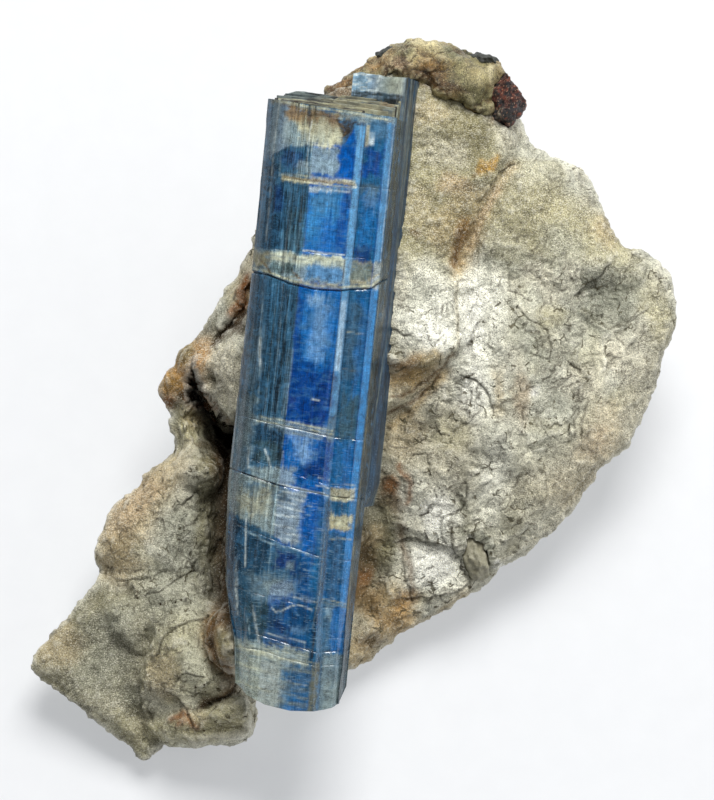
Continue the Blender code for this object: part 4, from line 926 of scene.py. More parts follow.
# Dark cracks and small ledges of the face: how far the rock on the left of the line stands up, how dark the
# crack is, how wide, and its points. Left is seen while walking along the line.
CRACKS = [
    (0.07, 0.45, 0.10, [(9.6, 12.7), (10.1, 11.8), (9.9, 9.9), (10.1, 7.0), (9.6, 5.9)]),
    (0.00, 0.9, 0.11, [(15.1, 10.8), (17.6, 9.9)]),
    (0.10, 0.7, 0.12, [(15.9, 9.3), (17.1, 8.1), (19.1, 7.0), (19.5, 5.2), (19.2, 4.2)]),
    (0.06, 0.6, 0.12, [(15.0, 13.2), (15.2, 11.2)]),
    (0.05, 0.7, 0.12, [(17.4, 4.6), (19.1, 4.1)]),
    (0.04, 0.6, 0.12, [(13.2, 6.6), (13.1, 5.4), (14.0, 4.9)]),
    (0.05, 0.9, 0.13, [(21.0, 3.8), (22.5, 2.8)]),
    (0.05, 0.6, 0.12, [(22.5, 4.3), (24.6, 4.8)]),
    (0.08, 0.7, 0.12, [(27.0, 7.4), (28.9, 9.0)]),
    (0.03, 0.7, 0.12, [(26.2, 6.3), (26.9, 5.4)]),
    (0.30, 0.5, 0.18, [(22.2, 11.0), (23.6, 12.1), (25.1, 13.4)]),
    (-0.24, 0.6, 0.18, [(22.3, 12.4), (22.3, 9.6), (23.4, 8.2), (25.2, 7.2), (27.0, 7.4), (28.4, 9.0)]),
    (0.04, 0.8, 0.12, [(10.5, 2.3), (11.6, 1.9), (12.9, 0.6)]),
    (0.10, 0.8, 0.14, [(3.4, 7.1), (4.4, 6.7), (5.4, 6.2)]),
    (0.16, 0.9, 0.15, [(13.2, 21.4), (14.0, 22.6), (14.7, 23.2), (15.8, 23.6)]),
    (0.05, 0.9, 0.13, [(10.3, 2.4), (12.3, 1.5), (13.3, 0.2), (13.5, -1.0)]),
    (0.06, 0.8, 0.13, [(7.9, -2.2), (8.2, -3.3), (9.1, -3.5)]),
    (0.07, 0.7, 0.12, [(5.4, -6.0), (5.8, -5.5), (7.0, -5.5), (7.5, -6.5), (7.5, -7.5)]),
    (0.03, 0.6, 0.12, [(14.3, -4.5), (14.3, -5.5), (13.8, -6.5)]),
    (0.10, 0.7, 0.13, [(10.8, -8.5), (10.8, -10.0), (10.5, -11.0), (8.5, -12.0), (8.3, -13.0), (9.0, -14.5)]),
    (0.26, 0.9, 0.17, [(4.5, -14.2), (6.0, -13.9), (8.0, -14.6), (9.5, -14.9)]),
    (0.05, 1.0, 0.16, [(6.8, -13.2), (7.0, -14.0)]),
    (0.05, 1.0, 0.14, [(6.4, -11.7), (7.0, -11.5), (7.5, -10.5)]),
    (0.12, 0.8, 0.16, [(9.5, -12.8), (9.6, -14.8), (10.4, -17.0), (11.3, -18.8)]),
    (-0.14, 0.6, 0.14, [(12.2, -12.0), (13.6, -14.0), (14.3, -16.6)]),
    (0.18, 0.5, 0.18, [(4.8, -20.0), (9.0, -19.5), (11.0, -18.5)]),
    (0.10, 0.6, 0.16, [(4.4, -15.0), (4.8, -17.5), (5.6, -20.2)]),
    (-0.22, 0.9, 0.18, [(-14.4, -7.2), (-14.6, -8.1), (-15.5, -9.0), (-16.9, -10.1)]),
    (0.05, 0.25, 0.10, [(-24.7, -13.1), (-22.7, -12.9), (-21.0, -12.4), (-19.2, -12.2), (-17.9, -12.7)]),
    (0.10, 0.45, 0.11, [(-24.2, -18.1), (-22.7, -18.1), (-21.0, -17.7), (-20.0, -17.4)]),
    (0.10, 0.45, 0.11, [(-21.2, -19.4), (-19.7, -19.0), (-17.9, -17.9), (-16.6, -17.5)]),
    (0.03, 0.30, 0.10, [(-22.5, -18.8), (-22.3, -19.9)]),
    (0.06, 0.4, 0.14, [(-20.5, -9.2), (-18.9, -8.2)]),
    (0.10, 0.5, 0.14, [(-17.2, -15.2), (-15.4, -17.6)]),
    (-0.20, 0.6, 0.14, [(-14.6, -21.4), (-16.4, -22.0), (-18.4, -22.7), (-19.6, -24.0), (-20.4, -25.8),
                        (-20.8, -28.0), (-21.2, -31.0), (-20.6, -32.2)]),
    (0.14, 0.8, 0.16, [(-18.6, -29.2), (-17.0, -30.6), (-16.2, -32.4)]),
    (0.14, 0.9, 0.18, [(-15.4, -30.7), (-14.0, -30.0), (-12.4, -29.0), (-12.2, -27.7)]),
    (0.06, 0.7, 0.14, [(-18.2, -32.3), (-18.4, -34.3)]),
    (0.06, 0.6, 0.13, [(-18.2, -28.2), (-17.2, -27.2), (-15.2, -27.6)]),
    (0.05, 0.6, 0.13, [(-17.4, -29.0), (-14.6, -29.4)]),
]

# Pushes that bring the rim to the outline of the photograph: how far, centre, half sizes and turn
PUSHES = [
    ((0.50, 0.55), (19.5, 23.4), (5.0, 1.8), -42), ((0.10, 0.05), (31.0, 11.6), (1.6, 2.4), 0),
    ((0.10, 0.00), (31.6, 7.4), (1.6, 3.0), 0), ((0.26, -0.18), (-14.0, 9.4), (1.8, 4.6), -38),
    ((0.02, 0.10), (-18.2, 5.2), (1.4, 1.6), -38), ((0.30, -0.15), (-18.9, 3.0), (1.0, 1.2), 0),
    ((-0.15, -0.10), (-19.8, 0.6), (1.2, 1.4), 0), ((-0.15, -0.15), (-18.9, -1.0), (0.9, 0.7), 0),
    ((0.20, -0.15), (-22.6, -8.6), (2.0, 1.4), 40), ((0.35, -0.10), (-25.0, -12.6), (2.0, 2.6), 20),
    ((-0.30, 0.00), (-25.8, -16.7), (1.2, 1.5), 0), ((-0.45, 0.05), (-31.8, -26.2), (2.0, 2.0), 0),
    ((-0.22, -0.28), (-28.6, -30.6), (4.6, 1.6), -38), ((0.35, 0.30), (21.8, 21.8), (2.0, 1.4), -42),
    ((0.25, 0.20), (30.8, 12.2), (1.4, 1.4), 0), ((-0.35, -0.25), (26.0, 16.8), (2.4, 1.5), -42),
    ((0.00, 0.20), (28.4, 14.6), (2.0, 1.6), -40),
]

# Hollows cut into the face beside the crystal: how deep, how soft the rim is, and the outline. Inside, the
# cut is painted near black as shade, with some rust, and its left rim is rusty
CUTS = [
    (3.6, 0.22, [(-16.2, 4.2), (-15.8, 2.2), (-15.0, 0.8), (-13.9, -0.5), (-12.9, -1.8), (-11.9, -2.7),
                 (-11.4, -6.6), (-13.5, -4.4), (-14.6, -3.0), (-15.6, -1.4), (-16.8, -0.2), (-16.9, 1.6),
                 (-16.6, 3.2)]),
]

# Where the rock is a coarse glittering sand rather than smooth mica: how much, centre, half sizes and turn
GRITTY = [
    (1.0, (9.6, 22.0), (6.8, 9.4), 0), (1.0, (4.8, 18.0), (2.0, 8.0), 0), (1.0, (-13.6, 3.0), (2.8, 4.6), 0),
    (0.8, (-26.4, -26.4), (6.8, 7.2), 0), (0.9, (20.6, 18.2), (7.0, 3.2), -40),
    (0.6, (27.0, -1.6), (3.4, 6.0), -30), (0.5, (-23.0, -12.6), (3.0, 4.0), 0),
    (0.5, (19.6, -9.0), (4.0, 3.0), 40), (0.6, (-17.8, 2.4), (2.0, 3.6), -38),
    (0.6, (29.6, 8.0), (1.8, 3.6), 0),
]

# Black specks in the lower left lobe: where they are strewn
SPECKLED = [
    ((-19.6, -21.0), (4.6, 2.6)), ((-16.0, -27.6), (3.0, 3.0)), ((-14.6, -32.4), (4.0, 1.6)),
]


def under_blade(face):
    """Where the blade hides the rock from the front."""
    own = to_face(to_world(face), blade_frame())
    a, _, c = own.T
    return (a > HIDDEN_A[0]) & (a < HIDDEN_A[1]) & (c > HIDDEN_C[0]) & (c < HIDDEN_C[1])


def rock_height(face, front, gritty, flakes):
    """How far the rock's surface is moved out, in mm. front is 1 on the face, 0 round the sides and back."""
    smooth = 1 - gritty
    height = 0.20 * rough(face, 5.0, 1, 2) + (0.14 - 0.11 * smooth * front) * rough(face, 1.6, 5, 2)
    wavy = shaken(face, 2.0, 0.6, 11, 1)
    plates = terraces(rough(wavy, (6.0, 4.6, 6.0), 21, 2), 0.22, 0.82) * 0.32
    small_plates = terraces(rough(wavy, (1.9, 1.5, 2.0), 31, 1), 0.30, 0.8) * 0.06
    height += front * (1 - 0.7 * gritty) * (plates + small_plates)
    sand = cells(face, 0.66, 41)
    height += gritty * (0.17 - 0.30 * sand[0] + 0.10 * (sand[2] - 0.5))
    height += smooth * 0.05 * rough(face, 0.5, 45, 2) * (1 - 0.8 * front)
    tilted = rough(face + 31.0 * flakes[2][:, None], 3.0, 67)
    height += front * smooth * (0.12 * tilted + 0.08 * (flakes[2] - 0.5))
    layers = rough(face * (0.10, 0.10, 1.0) + 0.12 * rough(face, 3.0, 51)[:, None], 0.55, 52, 2)
    height += (1 - front) * (0.26 * layers + 0.30 * rough(face, 2.4, 55, 3) + 0.13 * rough(face, 0.7, 58, 2))
    crumbs = cells(face, (1.6, 1.6, 1.0), 61)
    height += (1 - front) * 0.30 * (crumbs[2] - 0.5) * ramp(crumbs[1], 0.0, 0.25)
    return height


def rock_tints(points, normals):
    """The painted colour of each vertex of the rock."""
    own = shaken(points, 1.5, 0.45, 401, 3)
    colour = coat(ROCK["grey"], points)
    for seed, name in ((411, "cream"), (415, "olive"), (419, "dove"), (423, "stone")):
        blend(colour, 0.45 * ramp(rough(points, 3.8, seed, 2), 0.1, 0.6), ROCK[name])
    dabbed(colour, ROCK, own, TINTS)
    sharper = shaken(points, 0.9, 0.16, 431, 2)
    for name, amount, width, line in TINT_LINES:
        blend(colour, amount * stroke(sharper, width, line), ROCK[name])
    # The cut hollows: painted shade near black inside, some rust over it, and a rusty left rim
    for _, _, outline in CUTS:
        cut, rusty = inside(sharper, outline, 0.3), ramp(rough(points, 0.8, 437, 2), 0.1, 0.6)
        rim = inside(sharper, outline, 0.8) * ramp(points[:, 0], -14.4, -16.0)
        layered(colour, ROCK, (0.85 * rim, "rust"), (cut, "soot"), (0.6 * cut * rusty, "rust"))
    behind = ramp(normals[:, 2], 0.1, -0.4)
    back = coat(ROCK["stone"], points)
    for seed, name in ((441, "olive"), (445, "dove"), (449, "tan"), (453, "umber"), (457, "silver")):
        blend(back, 0.7 * ramp(rough(points, 5.0, seed, 3), 0.15, 0.6), ROCK[name])
    return colour + (back - colour) * behind[:, None]


def build_rock(neighbours):
    """The schist, with finer faces where the front shows and finer still along its cracks."""
    mesh = even_mesh(solid_copy("schist_slab"), ROCK_VOXEL)

    def forward(normals):
        return normals @ np.array(FACE.to_3x3())[:, 2] > FRONT_FACING

    def shown(centres, normals):
        return forward(normals) & ~under_blade(to_face(centres))

    def cracked(centres, normals):
        face = to_face(centres)
        off = np.min([line_distance(face, line)[0] for _, _, _, line in CRACKS], axis=0)
        return (off < CRACK_REACH) & forward(normals)

    refined(mesh, shown)
    refined(mesh, cracked)
    pairs = edges_of(mesh)
    above_floor = read(mesh)[:, 2] / MM
    resting = above_floor < 0.05
    points = relaxed(face_points(mesh), pairs, 3, np.where(resting, 0.0, 0.45))
    points = pushed(points, PUSHES)
    outer = ramp(face_normals(mesh)[:, 2], 0.0, 0.3)
    for depth, soft, outline in CUTS:
        points[:, 2] -= depth * outer * inside(shaken(points, 0.6, 0.12, 351), outline, soft)
    move(mesh, points)
    normals = face_normals(mesh)
    front = ramp(normals[:, 2], FRONT_FACING, 0.7)
    gritty = np.clip(sum(amount * spot(points, *where) for amount, *where in GRITTY), 0, 1)
    flakes = cells(shaken(points, 1.3, 0.45, 63), (2.4, 1.8, 2.4), 64)
    height = rock_height(points, front, gritty, flakes)

    crack = np.zeros(len(points))
    wavering = shaken(points, 0.9, 0.12, 71, 1)
    for lift, dark, width, line in CRACKS:
        near, side = line_distance(wavering, line)
        height += front * lift * np.exp(-near / 1.6) * ramp(near, 4.0, 0.0) * np.where(side > 0, 1.0, -0.4)
        groove = np.exp(-((near / width) ** 2)) * dark
        height -= front * groove * 0.12
        crack = np.maximum(crack, 0.72 * front * groove)

    ledge, away = ledges(points, 3.4, 75, 0.42)
    height += front * (1 - 0.7 * gritty) * 0.18 * ledge
    hair = np.exp(-((away / 0.12) ** 2)) * ramp(rough(points, 1.5, 77, 2), 0.0, 0.45)
    crack = np.maximum(crack, 0.75 * hair * front * (1 - 0.5 * gritty))

    height += 0.30 * (1 - front) * ramp(normals[:, 2], -0.7, -0.2)
    height *= ramp(above_floor, 0.0, 0.8)
    points = grown_against(points + normals * height[:, None], neighbours)
    move(mesh, points)
    normals = face_normals(mesh)
    light = 1 + (0.20 - 0.10 * gritty) * (flakes[2] - 0.5) * front
    speckled = np.max([spot(points, centre, half) for centre, half in SPECKLED], axis=0)
    paint(mesh, tint=rock_tints(points, normals) * light[:, None], crack=np.clip(crack, 0, 1), grit=gritty,
          dotted=front * speckled, hollow=hollows(points, pairs, normals, 0.16))
    new_piece("schist_rock", mesh, "schist_slab", schist_material())


# The blade

KYANITE = palette(
    white=(226, 232, 228), ice=(180, 205, 214), cream=(204, 200, 168), beige=(172, 160, 122),
    brown=(112, 84, 48), umber=(58, 46, 32), mist=(146, 156, 150), fog=(118, 134, 138), glass=(92, 112, 120),
    steel=(82, 122, 152), slate=(56, 96, 122), ink=(30, 60, 84), moss=(76, 96, 92), sky=(88, 152, 198),
    azure=(52, 136, 200), blue=(18, 114, 192), royal=(4, 92, 178), deep=(2, 66, 144), navy=(2, 44, 112),
    teal=(26, 92, 134), plum=(54, 60, 104), haze=(124, 142, 158), reed=(124, 120, 96), straw=(158, 152, 122),
    gravel=(84, 92, 88), flint=(58, 70, 72), char=(24, 24, 20),
)
# Colours that let hardly any light through
MILKY = {"white", "ice", "cream", "beige", "mist", "fog", "brown", "haze"}

# Zones of colour over the blade, laid one after another: the colour, how much, how soft its edge is in mm,
# and its corners as a and c
ZONES = [
    # Facets from foot to top. The sky strip on the riser and the azure and sky strips on the bevel are blue
    # with a painted reflection of the light from the right
    ("slate", 1.0, 0.15, box(-1.0, 4.8, -1.0, 61.0)), ("steel", 0.35, 0.25, box(-1.0, 1.9, 20.0, 56.0)),
    ("royal", 1.0, 0.10, box(4.8, 9.0, -1.0, 56.0)), ("teal", 1.0, 0.10, box(9.7, 11.9, -1.0, 59.2)),
    ("ink", 0.8, 0.15, box(12.6, 14.0, -1.0, 60.0)), ("moss", 0.6, 0.20, box(12.6, 14.0, -1.0, 60.0)),
    ("sky", 1.0, 0.07, box(9.0, 9.72, 29.6, 58.2)), ("azure", 0.9, 0.07, box(11.9, 12.56, 5.0, 58.7)),
    ("sky", 0.7, 0.10, box(11.9, 12.5, 44.0, 58.7)),
    # Broken top end
    ("haze", 0.9, 0.20, box(-1.0, 2.4, 54.0, 60.6)), ("steel", 0.5, 0.20, box(-1.0, 0.6, 54.0, 60.6)),
    ("mist", 0.65, 0.60, box(1.9, 5.0, 55.4, 59.2)), ("fog", 0.6, 0.15, box(0.4, 1.3, 54.6, 60.0)),
    ("beige", 0.80, 0.70, [(2.2, 58.9), (7.9, 58.4), (7.4, 55.9), (4.6, 55.9)]),
    ("mist", 0.5, 0.60, [(4.0, 57.4), (6.4, 57.2), (6.4, 55.8), (4.4, 55.8)]),
    ("cream", 0.35, 0.60, [(4.8, 57.2), (7.6, 57.6), (7.1, 56.0), (5.0, 56.0)]),
    ("cream", 0.4, 0.25, box(6.3, 7.3, 55.9, 57.2)),
    ("brown", 0.85, 0.35, [(1.3, 59.5), (7.0, 59.2), (7.4, 58.2), (2.2, 58.1)]),
    ("brown", 0.45, 0.30, [(5.6, 58.6), (8.4, 58.2), (8.2, 57.2), (6.6, 57.4)]),
    ("fog", 0.85, 0.20, [(6.8, 59.5), (12.6, 59.4), (12.6, 58.7), (9.0, 58.5), (7.2, 58.8)]),
    ("beige", 0.6, 0.20, [(0.0, 60.0), (6.0, 59.7), (6.0, 59.4), (0.4, 59.6)]),
    ("umber", 0.9, 0.15, [(6.8, 58.6), (9.3, 58.4), (8.3, 57.0), (8.0, 56.4), (7.5, 57.2)]),
    ("royal", 0.85, 0.15, [(7.9, 56.3), (8.7, 57.9), (9.0, 57.9), (9.0, 55.4), (7.5, 55.6)]),
    ("sky", 0.7, 0.12, [(8.5, 58.2), (9.6, 58.2), (9.5, 56.4), (8.9, 56.6)]),
    ("beige", 0.75, 0.12, box(9.8, 10.2, 56.0, 58.4)), ("white", 0.7, 0.14, box(10.2, 10.7, 56.4, 57.6)),
    ("steel", 0.7, 0.20, box(10.3, 11.8, 57.0, 58.8)), ("deep", 0.85, 0.30, box(9.9, 11.7, 53.4, 56.0)),
    # Below the slanting edge of the milky end
    ("slate", 0.95, 0.12, [(-0.5, 53.2), (0.1, 53.4), (1.0, 54.5), (2.5, 55.4), (4.5, 55.7), (4.7, 52.6),
                           (-0.5, 52.6)]),
    ("navy", 0.45, 0.25, [(1.9, 55.0), (4.0, 55.0), (4.2, 53.6), (2.2, 53.4)]),
    ("ink", 0.6, 0.20, box(0.2, 1.4, 52.4, 53.6)), ("fog", 0.85, 0.14, box(4.7, 7.6, 53.0, 55.6)),
    ("ice", 0.30, 0.50, box(5.2, 7.0, 53.2, 54.6)), ("royal", 0.95, 0.22, box(7.4, 8.95, 53.0, 55.9)),
    ("mist", 0.5, 0.20, box(3.4, 4.8, 52.9, 54.2)),
    # First fracture
    ("beige", 0.80, 0.10, [(2.0, 52.5), (9.2, 52.7), (9.5, 52.2), (2.0, 52.0)]),
    ("mist", 0.75, 0.12, box(4.8, 9.0, 51.2, 51.9)), ("glass", 0.6, 0.20, box(9.7, 11.8, 51.6, 52.5)),
    # Upper blue window and the slate beside it
    ("ink", 0.75, 0.20, box(1.4, 2.6, 45.6, 51.8)), ("navy", 0.45, 0.20, box(1.5, 2.3, 49.0, 51.6)),
    ("slate", 0.7, 0.25, box(2.6, 4.8, 45.3, 51.8)), ("moss", 0.35, 0.30, box(3.0, 4.8, 45.3, 49.4)),
    ("blue", 0.95, 0.16, box(4.95, 8.95, 45.5, 51.2)), ("azure", 0.85, 0.60, box(5.0, 8.2, 46.8, 51.2)),
    ("steel", 0.5, 0.5, box(5.2, 7.4, 49.6, 51.2)), ("sky", 0.25, 0.7, box(5.0, 8.9, 45.8, 51.2)),
    ("royal", 0.65, 0.70, box(6.2, 8.8, 45.8, 48.6)), ("deep", 0.75, 0.22, box(8.1, 8.95, 45.5, 51.6)),
    ("ink", 0.6, 0.15, box(0.8, 1.15, 45.4, 53.0)), ("steel", 0.6, 0.12, box(0.2, 0.7, 45.4, 53.0)),
    ("blue", 0.45, 0.50, box(9.9, 11.8, 46.4, 51.6)), ("navy", 0.70, 0.35, box(9.9, 11.5, 44.8, 46.6)),
    ("fog", 0.35, 0.40, box(10.2, 11.6, 50.0, 51.8)),
    # Second fracture, a glassy band
    ("fog", 0.90, 0.14, [(-0.5, 45.2), (9.2, 45.2), (9.2, 42.3), (4.0, 42.4), (1.7, 42.9), (-0.5, 43.1)]),
    ("mist", 0.95, 0.15, [(1.2, 45.0), (9.0, 45.2), (9.0, 44.0), (1.8, 43.7)]),
    ("cream", 0.55, 0.15, [(1.6, 44.9), (9.0, 45.1), (9.0, 44.5), (1.8, 44.2)]),
    ("azure", 0.50, 0.22, box(5.3, 9.0, 42.7, 44.1)), ("beige", 0.8, 0.25, box(-0.6, 1.4, 43.5, 44.9)),
    ("moss", 0.55, 0.25, box(1.6, 4.6, 42.9, 44.0)), ("beige", 0.65, 0.20, box(9.7, 12.7, 42.4, 45.0)),
    ("moss", 0.55, 0.25, box(9.8, 11.7, 43.0, 44.8)), ("fog", 0.4, 0.15, box(9.0, 9.7, 42.3, 45.2)),
    # Long blue window, striated slate and second face
    ("blue", 0.95, 0.16, box(5.0, 8.95, 33.6, 41.7)), ("azure", 0.30, 0.6, box(6.0, 8.2, 34.6, 41.2)),
    ("ice", 0.40, 1.1, [(6.2, 40.6), (7.7, 40.4), (8.0, 35.6), (7.2, 34.8), (6.6, 37.4)]),
    ("ice", 0.35, 0.45, box(5.6, 7.0, 40.3, 41.2)), ("deep", 0.70, 0.20, box(4.8, 5.5, 29.0, 40.6)),
    ("deep", 0.75, 0.9, [(5.0, 28.6), (9.0, 28.6), (9.0, 34.6), (7.4, 33.6), (5.0, 36.4)]),
    ("navy", 0.60, 0.7, [(6.0, 28.8), (8.9, 28.8), (8.9, 34.2), (7.8, 32.4)]),
    ("plum", 0.40, 0.25, box(5.0, 5.8, 29.9, 31.2)), ("slate", 0.7, 0.20, box(2.0, 4.8, 29.0, 41.8)),
    ("glass", 0.5, 0.15, box(4.3, 4.8, 29.0, 35.6)), ("ink", 0.6, 0.12, box(1.9, 2.2, 29.5, 41.6)),
    ("fog", 0.45, 0.6, box(0.4, 1.8, 31.8, 37.4)), ("moss", 0.5, 0.45, box(0.2, 2.2, 29.8, 31.6)),
    ("moss", 0.60, 1.0, box(9.8, 12.2, 27.0, 32.0)), ("glass", 0.4, 0.5, box(9.9, 11.8, 33.4, 40.8)),
    # The azure strip on the bevel and the white on the riser are painted reflections over the blue
    ("blue", 0.5, 0.4, box(11.0, 11.9, 31.6, 42.0)), ("azure", 0.95, 0.08, box(11.9, 12.5, 22.4, 42.0)),
    ("white", 0.35, 0.12, box(9.1, 9.6, 34.0, 41.0)),
    # Third fracture and what lies under it
    ("fog", 0.75, 0.18, [(1.4, 28.9), (9.6, 28.4), (9.7, 27.0), (5.0, 27.3), (1.6, 27.9)]),
    ("fog", 0.65, 0.50, box(-0.5, 1.7, 23.2, 30.6)), ("mist", 0.3, 0.4, box(0.4, 1.4, 25.6, 29.6)),
    ("ink", 0.75, 0.20, box(1.9, 4.8, 24.5, 27.9)), ("moss", 0.45, 0.25, box(2.0, 4.7, 24.4, 26.4)),
    ("blue", 0.75, 0.25, box(5.2, 9.7, 22.6, 27.1)),
    ("ice", 0.45, 0.70, [(5.4, 27.2), (7.2, 27.0), (8.0, 25.2), (7.6, 24.4), (6.4, 25.6)]),
    ("deep", 0.85, 0.45, [(8.2, 27.0), (9.6, 27.0), (9.6, 23.0), (6.8, 23.2), (7.8, 24.8)]),
    ("navy", 0.5, 0.2, box(6.6, 9.4, 23.2, 24.6)), ("mist", 0.7, 0.25, box(2.0, 6.4, 22.4, 24.0)),
    ("glass", 0.6, 0.12, box(8.95, 9.7, 27.0, 29.4)), ("blue", 0.75, 0.20, box(9.9, 11.9, 22.6, 27.0)),
    ("teal", 0.6, 0.3, box(10.0, 11.0, 22.8, 27.4)),
    # Fourth fracture and the milky zone
    ("mist", 0.75, 0.18, [(-0.5, 23.2), (4.6, 22.1), (7.6, 21.9), (7.6, 16.1), (4.9, 17.0), (1.6, 18.5),
                          (-0.5, 19.4)]), ("glass", 0.6, 0.3, box(1.6, 5.6, 20.8, 22.4)),
    ("beige", 0.50, 0.7, box(0.8, 4.0, 19.2, 21.4)), ("ink", 0.6, 0.15, box(5.0, 6.2, 20.6, 21.1)),
    ("azure", 0.45, 0.35, [(7.6, 21.8), (9.75, 21.8), (9.75, 11.0), (7.2, 11.0), (7.2, 16.4)]),
    ("royal", 0.7, 0.35, [(7.6, 21.8), (8.9, 21.8), (9.2, 11.0), (7.2, 11.0), (7.2, 16.4)]),
    ("steel", 0.45, 0.4, box(8.8, 9.8, 15.0, 21.6)), ("royal", 0.6, 0.3, box(7.8, 9.6, 18.0, 21.2)),
    ("beige", 0.80, 0.15, box(9.9, 12.3, 21.3, 22.6)), ("teal", 0.9, 0.15, box(10.0, 12.0, 20.1, 21.2)),
    ("beige", 0.9, 0.25, [(10.1, 20.0), (12.3, 19.8), (12.4, 18.6), (11.2, 18.3), (10.0, 18.6)]),
    ("cream", 0.7, 0.25, [(10.6, 19.6), (12.0, 19.5), (12.2, 19.0), (10.8, 18.9)]),
    # Lower windows
    ("slate", 0.95, 0.20, [(-0.5, 19.2), (1.7, 18.4), (4.9, 16.8), (7.6, 15.9), (7.6, 13.4), (-0.5, 10.0)]),
    ("ink", 0.70, 0.35, [(-0.2, 18.8), (2.0, 17.9), (4.6, 16.4), (4.2, 14.0), (0.4, 12.0)]),
    ("slate", 0.95, 0.25, box(-0.5, 5.0, 7.2, 13.4)), ("steel", 0.7, 0.30, box(4.8, 7.6, 13.6, 16.2)),
    ("navy", 0.85, 0.30, [(5.2, 16.1), (7.6, 15.4), (8.2, 14.6), (7.8, 13.2), (6.8, 13.6), (6.6, 14.4),
                          (5.0, 13.9)]), ("fog", 0.70, 0.15, box(6.3, 7.1, 14.0, 14.9)),
    ("fog", 0.55, 0.50, [(2.4, 13.4), (7.6, 13.3), (7.6, 10.8), (3.2, 11.0)]),
    ("mist", 0.45, 0.25, box(4.4, 7.5, 11.6, 12.8)), ("azure", 0.65, 0.2, box(8.6, 9.5, 12.2, 14.6)),
    ("deep", 0.6, 0.2, box(7.8, 8.6, 12.4, 14.6)), ("moss", 0.55, 0.4, box(2.6, 6.8, 7.6, 10.6)),
    ("blue", 0.70, 0.40, box(6.9, 9.6, 6.9, 10.6)), ("navy", 0.95, 0.32, box(7.2, 9.1, 8.8, 10.4)),
    ("navy", 0.7, 0.35, box(5.7, 7.0, 7.9, 9.1)), ("deep", 0.85, 0.30, box(7.2, 9.3, 5.8, 7.1)),
    ("glass", 0.5, 0.3, box(4.4, 7.2, 5.9, 7.6)), ("ink", 0.35, 0.5, box(2.6, 9.6, 7.0, 10.6)),
    ("ice", 0.35, 0.2, box(7.2, 9.0, 8.0, 8.7)), ("teal", 0.45, 0.60, box(7.2, 9.8, 5.8, 16.4)),
    ("blue", 0.7, 0.12, box(10.2, 12.6, 11.5, 18.4)), ("slate", 0.65, 0.3, box(10.2, 11.9, 11.6, 18.0)),
    # The azure strip on the bevel is a painted reflection over the blue
    ("ink", 0.4, 0.5, box(10.2, 11.4, 12.4, 17.4)), ("azure", 0.7, 0.15, box(11.9, 12.5, 11.4, 18.4)),
    ("steel", 0.8, 0.2, box(10.0, 12.9, 5.6, 11.2)), ("blue", 0.8, 0.2, box(11.3, 12.9, 6.2, 10.8)),
    ("ice", 0.5, 0.25, box(10.4, 11.1, 9.6, 10.7)),
    # Milky foot
    ("mist", 0.90, 0.20, [(1.5, 7.0), (9.4, 6.2), (9.4, 4.6), (1.8, 5.2)]),
    ("mist", 0.80, 0.25, [(1.8, 5.4), (9.4, 4.8), (9.4, -1.0), (1.8, -1.0)]),
    ("glass", 0.4, 0.5, box(1.8, 4.0, -1.0, 6.0)), ("cream", 0.35, 0.4, box(2.4, 7.0, 0.0, 6.2)),
    ("steel", 0.85, 0.35, [(6.8, 4.6), (9.7, 4.3), (9.7, -1.0), (6.5, -1.0), (7.4, 2.0)]),
    ("blue", 0.7, 0.30, [(7.6, 4.4), (9.7, 4.3), (9.7, -1.0), (7.0, -1.0), (8.0, 2.0)]),
    ("teal", 0.5, 0.30, box(7.6, 9.7, 1.0, 4.2)), ("reed", 0.85, 0.16, box(9.8, 10.6, -0.5, 5.2)),
    ("fog", 0.9, 0.2, box(10.7, 14.0, -0.5, 6.0)), ("mist", 0.5, 0.3, box(11.2, 13.4, 0.0, 3.4)),
]

